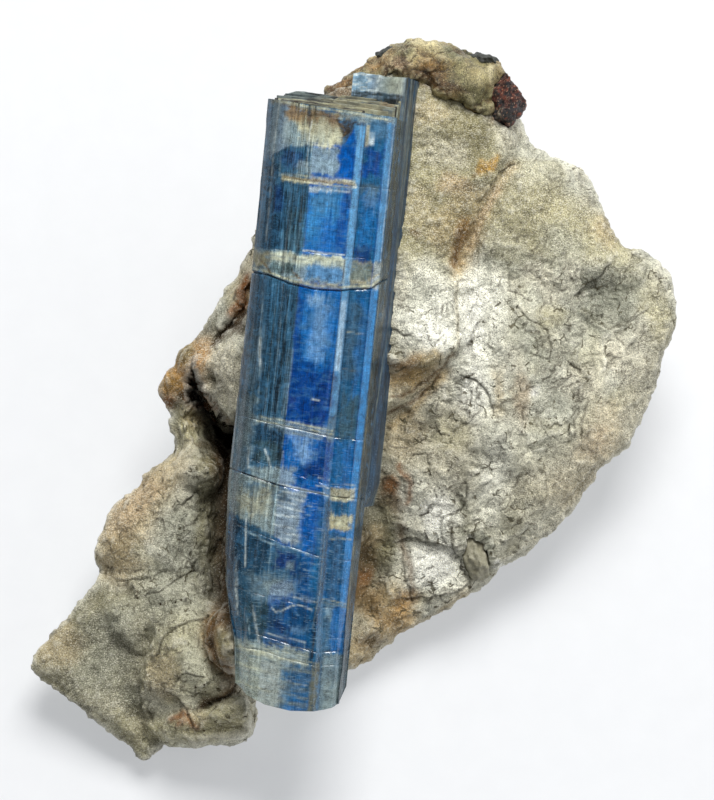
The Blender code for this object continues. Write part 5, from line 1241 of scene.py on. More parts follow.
# Lines over the blade: the colour, how much, the width, how broken it is from 0 to 1, and its points
LINES = [
    ("umber", 0.8, 0.07, 0.6, [(1.6, 58.9), (3.8, 58.6), (5.6, 58.9), (7.6, 58.5)]),
    ("brown", 0.7, 0.08, 0.5, [(2.2, 59.3), (4.4, 59.2), (6.6, 58.9), (8.4, 59.0)]),
    ("cream", 0.7, 0.08, 0.4, [(1.2, 59.7), (3.6, 59.5), (7.4, 59.4), (11.8, 59.0)]),
    ("brown", 0.8, 0.07, 0.2, [(7.3, 58.2), (7.8, 57.2), (7.5, 56.6)]),
    ("white", 0.5, 0.06, 0.4, [(4.4, 58.2), (4.3, 56.0), (4.4, 53.2)]),
    ("white", 0.55, 0.08, 0.5, [(1.05, 60.0), (0.95, 56.0), (1.0, 52.0), (1.1, 46.0)]),
    ("ink", 0.7, 0.07, 0.2, [(0.0, 53.4), (1.0, 54.5), (2.5, 55.35), (4.4, 55.7)]),
    ("cream", 0.6, 0.07, 0.2, [(4.4, 55.8), (7.2, 55.8)]),
    ("mist", 0.5, 0.06, 0.3, [(1.7, 54.2), (1.8, 52.4)]),
    ("cream", 0.9, 0.08, 0.2, [(2.0, 52.65), (5.6, 52.75), (9.2, 52.75)]),
    ("brown", 0.7, 0.06, 0.3, [(2.2, 52.4), (5.4, 52.35), (9.4, 52.45)]),
    ("cream", 0.8, 0.08, 0.3, [(2.4, 52.1), (6.2, 52.05), (9.4, 52.1)]),
    ("brown", 0.7, 0.05, 0.2, [(4.6, 53.0), (5.6, 52.4), (6.8, 52.2)]),
    ("ink", 0.6, 0.05, 0.2, [(10.0, 52.4), (11.4, 52.7)]),
    ("white", 0.5, 0.10, 0.6, [(4.9, 51.6), (6.6, 51.5), (8.8, 51.6)]),
    ("steel", 0.6, 0.05, 0.3, [(4.8, 51.2), (4.9, 45.4)]),
    ("ink", 0.7, 0.06, 0.3, [(1.35, 52.0), (1.45, 45.4)]),
    ("fog", 0.5, 0.05, 0.5, [(3.3, 51.4), (3.4, 45.4)]), ("fog", 0.45, 0.05, 0.5, [(4.2, 51.4), (4.3, 45.4)]),
    ("umber", 0.6, 0.06, 0.3, [(4.0, 49.6), (4.4, 49.0), (4.3, 48.2)]),
    ("umber", 0.6, 0.05, 0.2, [(4.0, 46.0), (5.0, 45.2), (5.6, 44.6)]),
    ("white", 0.9, 0.07, 0.2, [(4.9, 45.42), (7.0, 45.35), (8.9, 45.32)]),
    ("cream", 0.6, 0.06, 0.3, [(1.4, 44.9), (5.0, 44.8), (9.0, 44.9)]),
    ("ink", 0.6, 0.05, 0.2, [(1.6, 44.65), (5.0, 44.55), (9.0, 44.65)]),
    ("cream", 0.5, 0.06, 0.4, [(1.8, 44.35), (5.0, 44.2), (9.0, 44.35)]),
    ("cream", 0.95, 0.12, 0.1, [(-0.2, 43.2), (1.7, 42.98), (3.9, 42.35), (6.3, 42.05), (8.8, 42.12),
                                (9.9, 42.35), (11.9, 42.62), (12.7, 43.4)]),
    ("umber", 0.75, 0.07, 0.1, [(-0.2, 42.95), (1.7, 42.72), (3.9, 42.1), (6.3, 41.8), (8.8, 41.86),
                                (9.9, 42.1), (11.9, 42.36), (12.8, 43.2)]),
    ("beige", 0.8, 0.08, 0.2, [(3.6, 42.75), (6.2, 42.4), (8.6, 42.4)]),
    ("beige", 0.8, 0.09, 0.2, [(9.8, 42.9), (11.2, 42.9), (12.5, 43.9)]),
    ("brown", 0.9, 0.08, 0.1, [(0.6, 44.2), (1.2, 43.7), (1.9, 42.9)]),
    ("brown", 0.9, 0.08, 0.1, [(4.0, 43.3), (4.6, 42.8), (5.1, 42.3)]),
    ("umber", 0.7, 0.05, 0.1, [(6.6, 42.6), (7.1, 41.9)]),
    # A painted highlight along the edge of the left bevel: the white line, and the ice lines that carry it on
    # above and below
    ("white", 0.95, 0.12, 0.1, [(1.5, 36.4), (1.6, 35.2), (1.75, 33.8)]),
    ("ice", 0.5, 0.10, 0.6, [(1.3, 41.0), (1.5, 36.4)]), ("ice", 0.5, 0.08, 0.6, [(1.8, 33.8), (1.9, 29.4)]),
    ("ice", 0.6, 0.05, 0.4, [(4.85, 35.6), (4.75, 29.2)]),
    ("fog", 0.6, 0.05, 0.5, [(2.7, 41.6), (2.7, 29.4)]), ("fog", 0.6, 0.05, 0.5, [(3.3, 41.6), (3.4, 29.0)]),
    ("fog", 0.5, 0.04, 0.5, [(3.9, 41.6), (3.9, 29.4)]), ("ink", 0.6, 0.05, 0.3, [(3.0, 41.6), (3.0, 29.4)]),
    ("ink", 0.6, 0.05, 0.3, [(3.65, 41.6), (3.6, 29.2)]), ("ink", 0.5, 0.05, 0.3, [(2.4, 41.6), (2.4, 29.4)]),
    ("white", 0.9, 0.07, 0.0, [(7.2, 31.0), (7.9, 30.9)]),
    ("steel", 0.6, 0.06, 0.4, [(5.1, 37.9), (5.9, 37.8)]),
    ("steel", 0.6, 0.06, 0.4, [(5.1, 36.4), (6.0, 36.3)]),
    ("cream", 0.55, 0.06, 0.4, [(9.9, 37.9), (11.7, 37.8)]),
    ("beige", 0.4, 0.05, 0.5, [(9.9, 34.2), (11.7, 34.1)]),
    ("umber", 0.8, 0.06, 0.5, [(8.97, 57.6), (8.98, 48.0), (9.0, 38.0), (9.0, 30.0)]),
    ("ink", 0.7, 0.07, 0.2, [(9.8, 57.0), (9.82, 45.6)]),
    ("ink", 0.6, 0.07, 0.2, [(9.8, 41.8), (9.85, 28.0)]),
    ("deep", 0.7, 0.07, 0.3, [(11.82, 57.0), (11.84, 24.0)]),
    ("white", 0.45, 0.06, 0.4, [(12.5, 58.6), (12.52, 44.0)]),
    ("cream", 0.8, 0.07, 0.3, [(2.4, 28.75), (5.6, 28.5), (9.5, 28.1)]),
    ("cream", 0.75, 0.06, 0.3, [(2.0, 28.35), (5.6, 28.1), (9.6, 27.75)]),
    ("white", 0.7, 0.06, 0.4, [(4.6, 28.0), (7.0, 27.75), (9.6, 27.4)]),
    ("mist", 0.7, 0.06, 0.3, [(5.6, 27.5), (9.6, 27.0)]),
    ("ink", 0.7, 0.05, 0.1, [(2.2, 28.2), (5.6, 27.95), (9.6, 27.6)]),
    ("fog", 0.6, 0.05, 0.3, [(9.8, 27.6), (12.4, 27.6)]),
    ("white", 0.8, 0.10, 0.6, [(1.45, 25.5), (1.6, 23.6)]),
    ("white", 0.8, 0.10, 0.6, [(3.1, 25.6), (3.5, 24.8), (3.8, 23.9)]),
    ("white", 0.6, 0.07, 0.5, [(4.9, 25.6), (5.0, 23.9)]),
    ("fog", 0.7, 0.06, 0.2, [(4.75, 28.6), (4.7, 23.0)]), ("ink", 0.6, 0.08, 0.3, [(0.0, 23.9), (3.0, 23.2)]),
    ("umber", 0.85, 0.07, 0.1, [(-0.2, 23.35), (2.4, 22.75), (4.7, 22.2)]),
    ("cream", 0.6, 0.07, 0.3, [(-0.2, 23.15), (2.4, 22.55), (4.7, 22.0)]),
    ("white", 1.0, 0.09, 0.0, [(4.8, 22.35), (7.4, 22.0), (9.7, 21.7)]),
    ("white", 0.7, 0.06, 0.2, [(8.4, 22.6), (9.7, 22.45)]),
    ("white", 0.6, 0.06, 0.2, [(8.6, 23.4), (9.7, 23.3)]),
    ("ice", 0.7, 0.07, 0.1, [(4.65, 23.0), (4.55, 20.0), (4.5, 17.0)]),
    ("umber", 0.7, 0.06, 0.1, [(9.95, 22.5), (10.4, 21.8), (11.4, 21.6), (12.3, 22.2)]),
    ("cream", 0.8, 0.06, 0.1, [(9.95, 22.2), (10.5, 21.5), (11.4, 21.3), (12.3, 21.9)]),
    ("cream", 0.7, 0.06, 0.1, [(10.0, 22.9), (12.3, 22.9)]),
    ("umber", 0.6, 0.06, 0.2, [(10.1, 19.2), (11.2, 19.4), (12.2, 18.9)]),
    ("ice", 0.85, 0.07, 0.2, [(1.9, 17.5), (4.4, 16.5), (6.4, 16.2), (8.4, 15.8)]),
    ("white", 0.95, 0.08, 0.3, [(1.92, 18.6), (2.1, 16.4), (2.3, 13.9)]),
    ("white", 0.95, 0.15, 0.7, [(1.3, 14.6), (1.55, 12.6), (1.7, 11.0), (2.0, 9.2)]),
    ("white", 0.7, 0.12, 0.7, [(3.5, 10.1), (3.9, 8.4), (4.4, 6.6)]),
    ("ice", 0.6, 0.10, 0.7, [(3.0, 9.0), (3.4, 7.4)]), ("ice", 0.5, 0.05, 0.4, [(4.6, 16.4), (4.7, 10.4)]),
    ("fog", 0.5, 0.05, 0.4, [(5.2, 16.2), (5.3, 13.6)]),
    ("white", 0.9, 0.07, 0.1, [(5.3, 10.15), (5.7, 9.85), (6.3, 9.95), (7.2, 10.55), (8.2, 10.7),
                               (9.3, 10.3)]), ("white", 0.9, 0.08, 0.2, [(7.4, 11.35), (9.6, 11.15)]),
    ("white", 0.9, 0.06, 0.1, [(4.7, 7.65), (6.8, 7.35), (8.9, 7.08)]),
    ("ice", 0.6, 0.05, 0.1, [(8.9, 7.1), (8.95, 6.2)]),
    ("cream", 0.7, 0.07, 0.2, [(10.2, 11.5), (12.5, 11.25)]),
    ("mist", 0.8, 0.13, 0.3, [(6.6, 4.5), (8.4, 4.2), (9.7, 4.2)]),
    ("mist", 0.7, 0.10, 0.4, [(6.9, 3.6), (9.7, 3.3)]),
    ("fog", 0.8, 0.14, 0.3, [(6.8, 2.8), (8.6, 2.5), (9.7, 2.5)]),
    ("mist", 0.7, 0.10, 0.4, [(7.0, 1.9), (9.7, 1.6)]), ("fog", 0.7, 0.12, 0.3, [(7.0, 1.0), (9.7, 0.7)]),
    ("white", 0.6, 0.05, 0.4, [(7.2, 3.2), (9.6, 2.9)]),
    ("cream", 0.8, 0.07, 0.2, [(1.2, 6.3), (3.4, 5.8), (6.4, 5.3), (9.7, 5.2)]),
    ("ink", 0.75, 0.16, 0.3, [(9.72, 21.0), (9.66, 12.0), (9.6, 5.4)]),
    ("fog", 0.8, 0.09, 0.2, [(1.0, 5.8), (3.4, 5.3), (6.4, 4.9), (9.7, 4.8)]),
    ("cream", 0.6, 0.06, 0.3, [(1.6, 4.6), (3.8, 4.1), (6.6, 3.7)]),
    ("fog", 0.7, 0.07, 0.3, [(1.8, 4.0), (4.2, 3.5), (6.8, 3.1)]),
    ("cream", 0.6, 0.06, 0.3, [(2.4, 2.6), (4.4, 2.2), (6.8, 1.9)]),
    ("mist", 0.6, 0.10, 0.2, [(10.2, 11.15), (12.5, 10.95)]),
    ("cream", 0.7, 0.07, 0.3, [(10.3, 17.5), (12.4, 17.6)]),
    ("ink", 0.85, 0.11, 0.1, [(9.85, 21.4), (10.0, 18.0), (10.1, 12.0), (9.75, 8.6), (9.7, 5.6)]),
    ("mist", 0.6, 0.06, 0.6, [(9.75, 18.0), (9.85, 12.0), (9.5, 8.6)]),
    ("umber", 0.8, 0.1, 0.4, [(9.8, 8.4), (9.75, 5.8)]), ("umber", 0.6, 0.04, 0.0, [(6.9, 2.4), (8.2, 3.6)]),
    ("ink", 0.6, 0.07, 0.2, [(10.75, 5.4), (10.85, 0.6)]),
]

# Rows of thin pale lines side by side: the colour, how much, the least and most a, the least and most c,
# how far apart they are, how much each rises across its length and how wide it is
ROWS = [
    ("umber", 0.8, 3.6, 12.4, 58.6, 59.6, 0.36, -0.02, 0.07),
    ("straw", 0.7, 3.0, 12.4, 58.5, 59.5, 0.28, -0.03, 0.07),
    ("ice", 0.75, 7.7, 9.7, 16.0, 21.0, 0.95, -0.15, 0.07),
    ("white", 0.7, 4.6, 7.6, 16.8, 21.8, 0.55, -0.30, 0.07),
    ("mist", 0.95, 6.4, 9.7, -0.4, 4.7, 0.70, -0.12, 0.18),
    ("ink", 0.6, 6.8, 9.6, -0.4, 4.6, 0.55, -0.10, 0.08),
    ("cream", 0.75, 2.3, 9.5, 4.9, 6.8, 0.36, -0.55, 0.07),
    ("glass", 0.6, 2.4, 9.4, 4.4, 7.0, 0.45, -0.50, 0.09),
    ("white", 0.35, 2.4, 6.9, 1.0, 4.8, 0.50, -0.30, 0.07),
    ("fog", 0.6, 10.9, 13.0, 1.0, 8.6, 0.80, 0.05, 0.07),
    ("ice", 0.35, 2.6, 7.4, 11.0, 13.2, 0.42, -0.10, 0.07),
    ("ice", 0.5, 8.0, 9.6, 11.4, 15.8, 0.70, -0.10, 0.07),
    ("steel", 0.5, 5.0, 8.9, 45.6, 51.2, 0.60, 0.10, 0.10),
    ("sky", 0.3, 5.0, 8.9, 30.0, 41.0, 0.90, 0.10, 0.10),
]


def along_blade(own, size, seed, octaves=2, stretch=0.06):
    """Unevenness in streaks that run along the blade."""
    return rough(own * (1, 1, stretch), size, seed, octaves)


def blade_tints(own):
    """The painted colour of each vertex of the blade, and how milky and how streaky it is there."""
    a, _, c = own.T
    cloud = rough(own, 0.9, 501, 3)
    along = along_blade(own, 0.2, 505, 2, 0.12)
    ladder = rough(own * (0.15, 1, 1), 0.3, 507, 2)
    ruled = np.stack([a + 0.02 * rough(own, 0.6, 511), c + 0.05 * rough(own, 0.7, 513, 2)], axis=1)
    colour = coat(KYANITE["teal"], own)
    milk = np.zeros(len(own))
    for name, amount, soft, corners in ZONES:
        loose = ramp(soft, 0.12, 0.3) * 0.35
        ragged = np.stack([a + loose * (cloud + 0.6 * ladder), c + soft * (0.8 * along + cloud)], axis=1)
        share = amount * inside(ragged, corners, soft)
        blend(colour, share, KYANITE[name])
        milk += (float(name in MILKY) - milk) * share
    nothing = np.zeros(len(own), np.int64)
    waver = 0.12 * rough(own * (0.3, 1, 1), 0.8, 521)
    worn = ramp(rough(own * (0.5, 1, 1), 0.7, 525, 2), -0.7, 0.1)
    for name, amount, left, right, low, high, gap, rise, width in ROWS:
        level = ruled[:, 1] - rise * (a - left) / (right - left) + waver
        number = np.floor(level / gap)
        chosen = chance(number.astype(np.int64), nothing, nothing, 523)
        line = np.exp(-(((level / gap - number - 0.5) * gap / width) ** 2)) * (0.4 + 0.6 * chosen) * worn
        blend(colour, amount * line * inside(ruled, box(left, right, low, high), 0.12), KYANITE[name])
    broken = ramp(rough(own, 0.45, 531, 2), 0.15, -0.25)
    for name, amount, width, gaps, line in LINES:
        blend(colour, amount * stroke(ruled, width, line) * (1 - gaps * broken), KYANITE[name])
    striated = ramp(a, 1.8, 2.3) * ramp(a, 5.0, 4.6) * ramp(c, 13.0, 24.0)
    light = 1 + (0.14 + 0.45 * striated) * along_blade(own, 0.15, 541, 2, 0.03) + 0.14 * cloud
    # Painted shade: the left bevel facets are darkened, as they face away from the light
    light *= 1 - 0.50 * ramp(a, 2.1, 0.9)
    # Painted shade: the steep side face past the bevel is darkened, as it catches little light
    light *= 1 - 0.34 * ramp(a, 12.5, 13.0)
    light *= 1 - 0.10 * ramp(c, 14.6, 13.6)
    light *= 1 + 0.20 * ramp(c, 42.2, 43.2) * ramp(a, 12.2, 11.8)
    light *= 1 - 0.10 * ramp(a, 5.1, 4.7) * ramp(c, 24.0, 30.0)
    side = ramp(a, 12.55, 12.75)
    lamella = along_blade(own * (2.0, 1, 1), 0.26, 545, 2, 0.015)
    thread = np.exp(-(((a - 12.78 + 0.03 * rough(own, 2.0, 547)) / 0.06) ** 2))
    thread *= ramp(c, 5, 12) * ramp(c, 41, 34) * ramp(rough(own, 1.2, 549, 2), -0.3, 0.3)
    layered(colour, KYANITE, (side * 0.8, "flint"), (side * ramp(lamella, 0.2, 0.6) * 0.6, "glass"),
            (side * ramp(lamella, 0.0, -0.4) * 0.8, "ink"), (0.6 * thread, "beige"))
    streaky = 0.3 + 0.7 * np.maximum(striated, 0.7 * ramp(a, 2.2, 1.6))
    return colour * np.maximum(light, 0.2)[:, None], milk, np.maximum(streaky, side)


def blade_relief(own):
    """Fine grooves along the blade, steps between its lamellae and slight waves, in mm outwards."""
    a, b, c = own.T
    front = ramp(b, -1.9, -1.3)
    striated = ramp(a, 2.0, 2.6) * ramp(a, 5.1, 4.6)
    height = 0.016 * along_blade(own, 0.5, 111, 2, 0.04) + 0.010 * along_blade(own, 0.22, 113, 1, 0.04)
    height += striated * 0.04 * along_blade(own, 0.2, 115, 1, 0.04)
    height += 0.03 * rough(own, (2.5, 2.5, 6.0), 117)
    height += (0.05 + 0.06 * (1 - front)) * terraces(along_blade(own, 0.9, 119, 1, 0.04), 0.5, 0.85)
    glassy = ramp(c, 42.0, 42.8) * ramp(c, 45.2, 44.6) * front
    height -= glassy * (0.07 + 0.08 * rough(own, 0.7, 121, 2))
    return height


def walked(section, spacing_of):
    """The points of a closed section with more put between them."""
    places = []
    for start, end in zip(section, section[1:] + section[:1]):
        start, end = np.array(start), np.array(end)
        count = max(1, math.ceil(np.linalg.norm(end - start) / spacing_of(start, end)))
        places += [start + (end - start) * k / count for k in range(count)]
    return np.array(places)


def blade_spacing(start, end):
    low, high = sorted((start[1], end[1]))
    if low > BLADE_SIDES:
        return FACE_SPACING
    return BACK_SPACING if high <= BLADE_BACK + 0.1 else SIDE_SPACING


def rear_spacing(start, end):
    return REAR_SEEN_SPACING if max(start[0], end[0]) > REAR_SEEN else REAR_SPACING


def outward(ring):
    """Outward directions of a closed ring of a and b, walked clockwise from its left edge over the front."""
    along = np.roll(ring, -1, axis=0) - np.roll(ring, 1, axis=0)
    along /= np.maximum(np.linalg.norm(along, axis=1, keepdims=True), 1e-9)
    return np.stack([-along[:, 1], along[:, 0]], axis=1)


def blade_mesh(points, faces):
    """A mesh from points in the blade's frame."""
    mesh = bpy.data.meshes.new("blade")
    mesh.from_pydata(to_world(points, blade_frame()).tolist(), [], faces)
    own = bmesh.new()
    own.from_mesh(mesh)
    closed_mesh(own, mesh)
    return mesh


def swept(rings):
    """A closed mesh through rings of equal count, each an array of blade-frame points."""
    count, last = len(rings[0]), (len(rings) - 1) * len(rings[0])
    faces = [(row + k, row + (k + 1) % count, row + count + (k + 1) % count, row + count + k)
             for row in range(0, last, count) for k in range(count)]
    faces += [tuple(range(count)), tuple(range(last, last + count))]
    return blade_mesh(np.concatenate(rings), faces)


def kyanite_piece(name, mesh, material, tint, milk, streaky, dull=0.0):
    """Paints and finishes a piece of the crystal, which is dull where its faces are broken."""
    paint(mesh, dull=np.full(len(mesh.vertices), dull), blade=blade_points(mesh), tint=tint,
          milk=np.clip(milk, 0, 1), streaky=streaky)
    new_piece(name, mesh, "kyanite_crystal", material, SHARP_EDGE)


def blade_rows(a):
    """Rows up the blade: the c of each point, the depth of a break there and how far the face stands up."""
    curves = [(BLADE_FOOT, 0.0, 0.0)]
    lift = 0.0
    for line, depth, width, step in BREAKS:
        for shift, share in ((-1.0, 0.0), (-0.5, 0.5), (0.0, 1.0), (0.5, 0.5), (1.0, 0.0)):
            curves.append((np.array(line) + (0.0, shift * width), depth * share, lift + step * (shift > 0)))
        lift += step
    curves.append((BLADE_TOP, 0.0, lift))
    for low, high in zip(curves, curves[1:]):
        low_c, high_c = (np.interp(a, *np.array(line).T) for line in (low[0], high[0]))
        count = max(1, round(float(np.mean(high_c - low_c)) / ROW_SPACING))
        for share in np.arange(count) / count:
            yield (low_c + (high_c - low_c) * share, *(low[k] + (high[k] - low[k]) * share for k in (1, 2)))
    yield np.interp(a, *np.array(BLADE_TOP).T), 0.0, lift


def build_blade(material):
    section = walked(BLADE_SECTION, blade_spacing)
    a0, b0 = section.T
    taper = np.array(LOWER_TAPER).T
    rings, outs, dents, lifts = [], [], [], []
    for c, dent, lift in blade_rows(a0):
        least, back = (np.interp(c, taper[0], values) for values in taper[1:])
        groove_shift = 0.35 * ramp(c, 23.0, 21.0) * ramp(a0, 6.5, 8.8) * ramp(a0, 12.0, 10.2)
        a = least + a0 * (BLADE_WIDTH - least) / BLADE_WIDTH + groove_shift
        b = b0 * np.where(b0 < BLADE_SIDES, back / BLADE_BACK, 1.0)
        rings.append(np.stack([a, b, c], axis=1))
        outs.append(outward(rings[-1][:, :2]))
        dents.append(np.full(len(c), dent))
        lifts.append(np.full(len(c), lift))
    own, out = np.concatenate(rings), np.concatenate(outs)
    dent, lift = np.concatenate(dents), np.concatenate(lifts)
    uneven = 0.75 + 0.5 * rough(own * (1, 0, 0.5), 0.7, 101, 2)
    moved = blade_relief(own) - dent * uneven + np.where(own[:, 1] > BLADE_SIDES, lift * 0.5, 0.0)
    own[:, :2] += out * moved[:, None]
    mesh = swept(np.split(own, len(rings)))
    kyanite_piece("kyanite_front_blade", mesh, material, *blade_tints(blade_points(mesh)))


def build_rear_blade(material):
    section = walked(REAR_SECTION, rear_spacing)
    a0, b0 = section.T
    flat = section @ np.eye(2, 3)
    rings = []
    for share in REAR_ROWS:
        foot = REAR_START + 0.9 * b0 / REAR_BACK
        c = foot + (REAR_END + 0.2 - foot) * share
        a = a0 - 0.5 * (1 - np.minimum(1.0, (c - foot) / 2.2))
        own = np.stack([a, b0, c], axis=1)
        grooves = 0.04 * along_blade(own, 0.4, 151, 1, 0.03)
        grooves += 0.12 * terraces(along_blade(own, 0.7, 153, 1, 0.03), 0.4, 0.8)
        own[:, :2] += outward(own[:, :2]) * grooves[:, None]
        own[:, 2] -= ramp(share, 0.985, 1.0) * (0.30 + 0.12 * rough(flat, 0.8, 155, 2))
        rings.append(own)
    mesh = swept(rings)
    own = blade_points(mesh)
    a, _, c = own.T
    lamella = along_blade(own * (1.6, 1.6, 1), 0.3, 157, 2, 0.015)
    ragged = c + 0.12 * rough(own, 0.6, 159, 2)
    front = ramp(a, 13.4, 12.6)
    top = ramp(ragged, 61.55, 61.8) * front
    level = rough(own * (0.12, 0.5, 1), 0.16, 163, 2)
    under = front * ramp(ragged, 61.75, 61.5)
    blue = top * ramp(a, 10.2, 9.0)
    chip = top * np.exp(-(((a - 10.6) / 0.22) ** 2)) * ramp(rough(own, 0.4, 161, 2), -0.5, 0.2)
    tint = coat(KYANITE["ink"], own)
    layered(tint, KYANITE, (0.6 * ramp(lamella, 0.0, 0.5), "glass"),
            (0.35 * ramp(lamella, 0.5, 0.7), "beige"), (under, "flint"),
            (0.7 * under * ramp(level, 0.1, 0.5), "haze"), (0.8 * under * ramp(level, -0.1, -0.5), "char"),
            (top, "haze"), (0.6 * blue, "sky"), (0.5 * blue, "ice"), (0.9 * top * ramp(a, 9.8, 11.2), "mist"),
            (0.4 * top * ramp(a, 10.8, 12.0), "cream"), (0.9 * chip, "white"),
            (0.75 * top * ramp(a, 11.6, 9.2) * ramp(level, 0.0, 0.5), "white"),
            (0.5 * top * ramp(a, 9.6, 8.6) * ramp(level, 0.0, -0.4), "steel"))
    kyanite_piece("kyanite_rear_blade", mesh, material, tint, 0.6 * top, 1 - 0.8 * top, 0.5)


def build_end_plates(material):
    """The stack of broken plates that makes the blade's top end, as one mesh of thin closed slabs."""
    points, faces, colours = [], [], []
    for number, (left, right, ahead, behind, name, edge) in enumerate(END_PLATES):
        count = round((right - left) / PLATE_SPACING)
        a = np.linspace(left, right, count + 1)
        place = np.stack([a, np.full_like(a, number * 3.7), 0 * a], axis=1)
        top = np.interp(a, *np.array(edge).T) + 0.05 * rough(place, 0.9, 171, 3)
        height = top - 0.3 - PLATES_FOOT
        ahead_side, behind_side = ([np.stack([a, b + 0 * a, PLATES_FOOT + height * level], axis=1)
                                    for level in (0.0, 0.4, 0.8)] for b in (ahead, behind))
        wavy = 0.03 * rough(place, 0.8, 173 + number)
        drops = ((ahead, 0.08), (ahead - 0.04, 0.01), ((ahead + behind) / 2, 0.0), (behind, 0.04))
        rim = [np.stack([a, b + wavy, top - drop], axis=1) for b, drop in drops]
        ring = ahead_side + rim + behind_side[::-1]
        first, width = len(points), count + 1
        points += np.concatenate(ring).tolist()
        colours += [KYANITE[name]] * (width * len(ring))
        starts = [first + row * width for row in range(len(ring))]
        for start, following in zip(starts, starts[1:] + starts[:1]):
            faces += [(start + k, start + k + 1, following + k + 1, following + k) for k in range(count)]
        faces += [tuple(starts), tuple(start + count for start in reversed(starts))]
    mesh = blade_mesh(np.array(points), faces)
    own = blade_points(mesh)
    a, b, _ = own.T
    tint = np.array(colours)
    grain = rough(own * (0.12, 2.4, 1.6), 0.30, 181, 2)
    patches = ramp(a, 3.5, 7.5) * ramp(rough(own * (0.3, 2, 1), 0.5, 183, 2), 0.0, 0.6)
    corner = ramp(a, 10.6, 11.4) * ramp(a, 12.6, 12.0) * ramp(b, -1.6, -2.4)
    layered(tint, KYANITE, (0.5 * ramp(grain, 0.1, 0.6), "mist"), (0.6 * ramp(grain, -0.1, -0.6), "char"),
            (0.5 * patches, "beige"), (0.7 * corner, "brown"))
    milk, streaky = np.full(len(own), 0.9), np.full(len(own), 0.2)
    kyanite_piece("kyanite_end_plates", mesh, material, tint * 0.8, milk, streaky, 1.0)


# Quartz, garnet and grains

QUARTZ = palette(
    pale=(186, 176, 138), cream=(162, 150, 108), stone=(128, 122, 84), moss=(98, 96, 64), slate=(70, 74, 56),
    gold=(126, 94, 40), orange=(132, 96, 50), pink=(150, 124, 96), brown=(80, 54, 24),
)

# Tints over the quartz and the garnet: the colour, how much, then centre, half sizes and turn
QUARTZ_TINTS = [
    ("cream", 0.9, (7.0, 35.3), (2.8, 1.0), -8), ("pale", 0.7, (6.4, 35.6), (2.2, 0.6), -8),
    ("pale", 0.5, (5.6, 33.6), (1.2, 0.6), 10), ("pale", 0.4, (2.6, 34.2), (0.8, 0.6), 25),
    ("cream", 0.8, (6.2, 34.3), (1.8, 0.8), 0), ("stone", 0.8, (9.8, 35.2), (0.9, 0.7), 0),
    ("gold", 0.9, (7.2, 33.0), (2.3, 1.1), 0), ("brown", 0.7, (7.8, 32.4), (2.4, 0.6), -10),
    ("moss", 0.95, (11.4, 34.2), (2.8, 1.1), -12), ("slate", 0.9, (11.0, 34.5), (2.2, 0.7), -12),
    ("stone", 0.6, (3.4, 33.0), (2.2, 1.2), 20), ("stone", 0.6, (-1.6, 31.8), (1.4, 0.8), 25),
    ("stone", 0.95, (11.6, 32.0), (2.4, 2.3), 0), ("cream", 0.45, (12.0, 32.4), (1.4, 1.5), 0),
    ("moss", 0.5, (9.8, 31.9), (0.9, 0.8), 0), ("pale", 0.95, (13.5, 32.2), (0.32, 1.7), 6),
    ("brown", 0.9, (-2.0, 31.3), (1.6, 0.9), 25), ("orange", 0.6, (-1.2, 31.6), (0.9, 0.4), 25),
    ("orange", 0.8, (2.0, 33.7), (1.3, 0.9), 25), ("pale", 0.5, (1.8, 34.0), (0.7, 0.5), 25),
    ("pink", 0.9, (4.2, 33.3), (1.1, 0.7), 0), ("brown", 0.8, (3.0, 32.6), (0.6, 0.7), 0),
    ("brown", 0.85, (9.0, 31.2), (2.4, 0.45), -20), ("moss", 0.7, (12.4, 30.2), (1.2, 0.8), -40),
    ("slate", 0.6, (4.6, 35.2), (0.9, 0.9), 30), ("brown", 0.5, (5.4, 32.2), (1.0, 0.4), -15),
]
QUARTZ_FLAT = (11.6, 32.2), (2.4, 2.2)  # the level face on the right: its centre and half sizes
QUARTZ_PUSHES = [
    ((0.35, -0.75), (-0.6, 32.8), (3.4, 1.8), 32), ((-0.15, -0.35), (13.2, 34.6), (1.4, 1.0), 0),
]
GARNET_TINTS = [
    ("rust", 0.9, (14.8, 31.0), (0.9, 1.5), 0), ("wine", 0.8, (15.4, 31.6), (0.8, 0.8), 0),
    ("slate", 0.9, (16.0, 28.6), (1.2, 1.2), 0), ("rust", 0.6, (16.0, 29.9), (0.5, 0.5), 0),
    ("pebble", 1.0, (14.2, 28.6), (0.55, 0.5), 0), ("rust", 0.7, (13.9, 29.6), (0.35, 0.6), 0),
]
GARNET_SLANT = (14.7, 32.9), (0.806, 0.592)  # the face that cuts its upper right off: a point and a direction
GARNET = palette(wine=(48, 16, 12), rust=(92, 38, 22), slate=(40, 38, 42), pebble=(170, 160, 140))


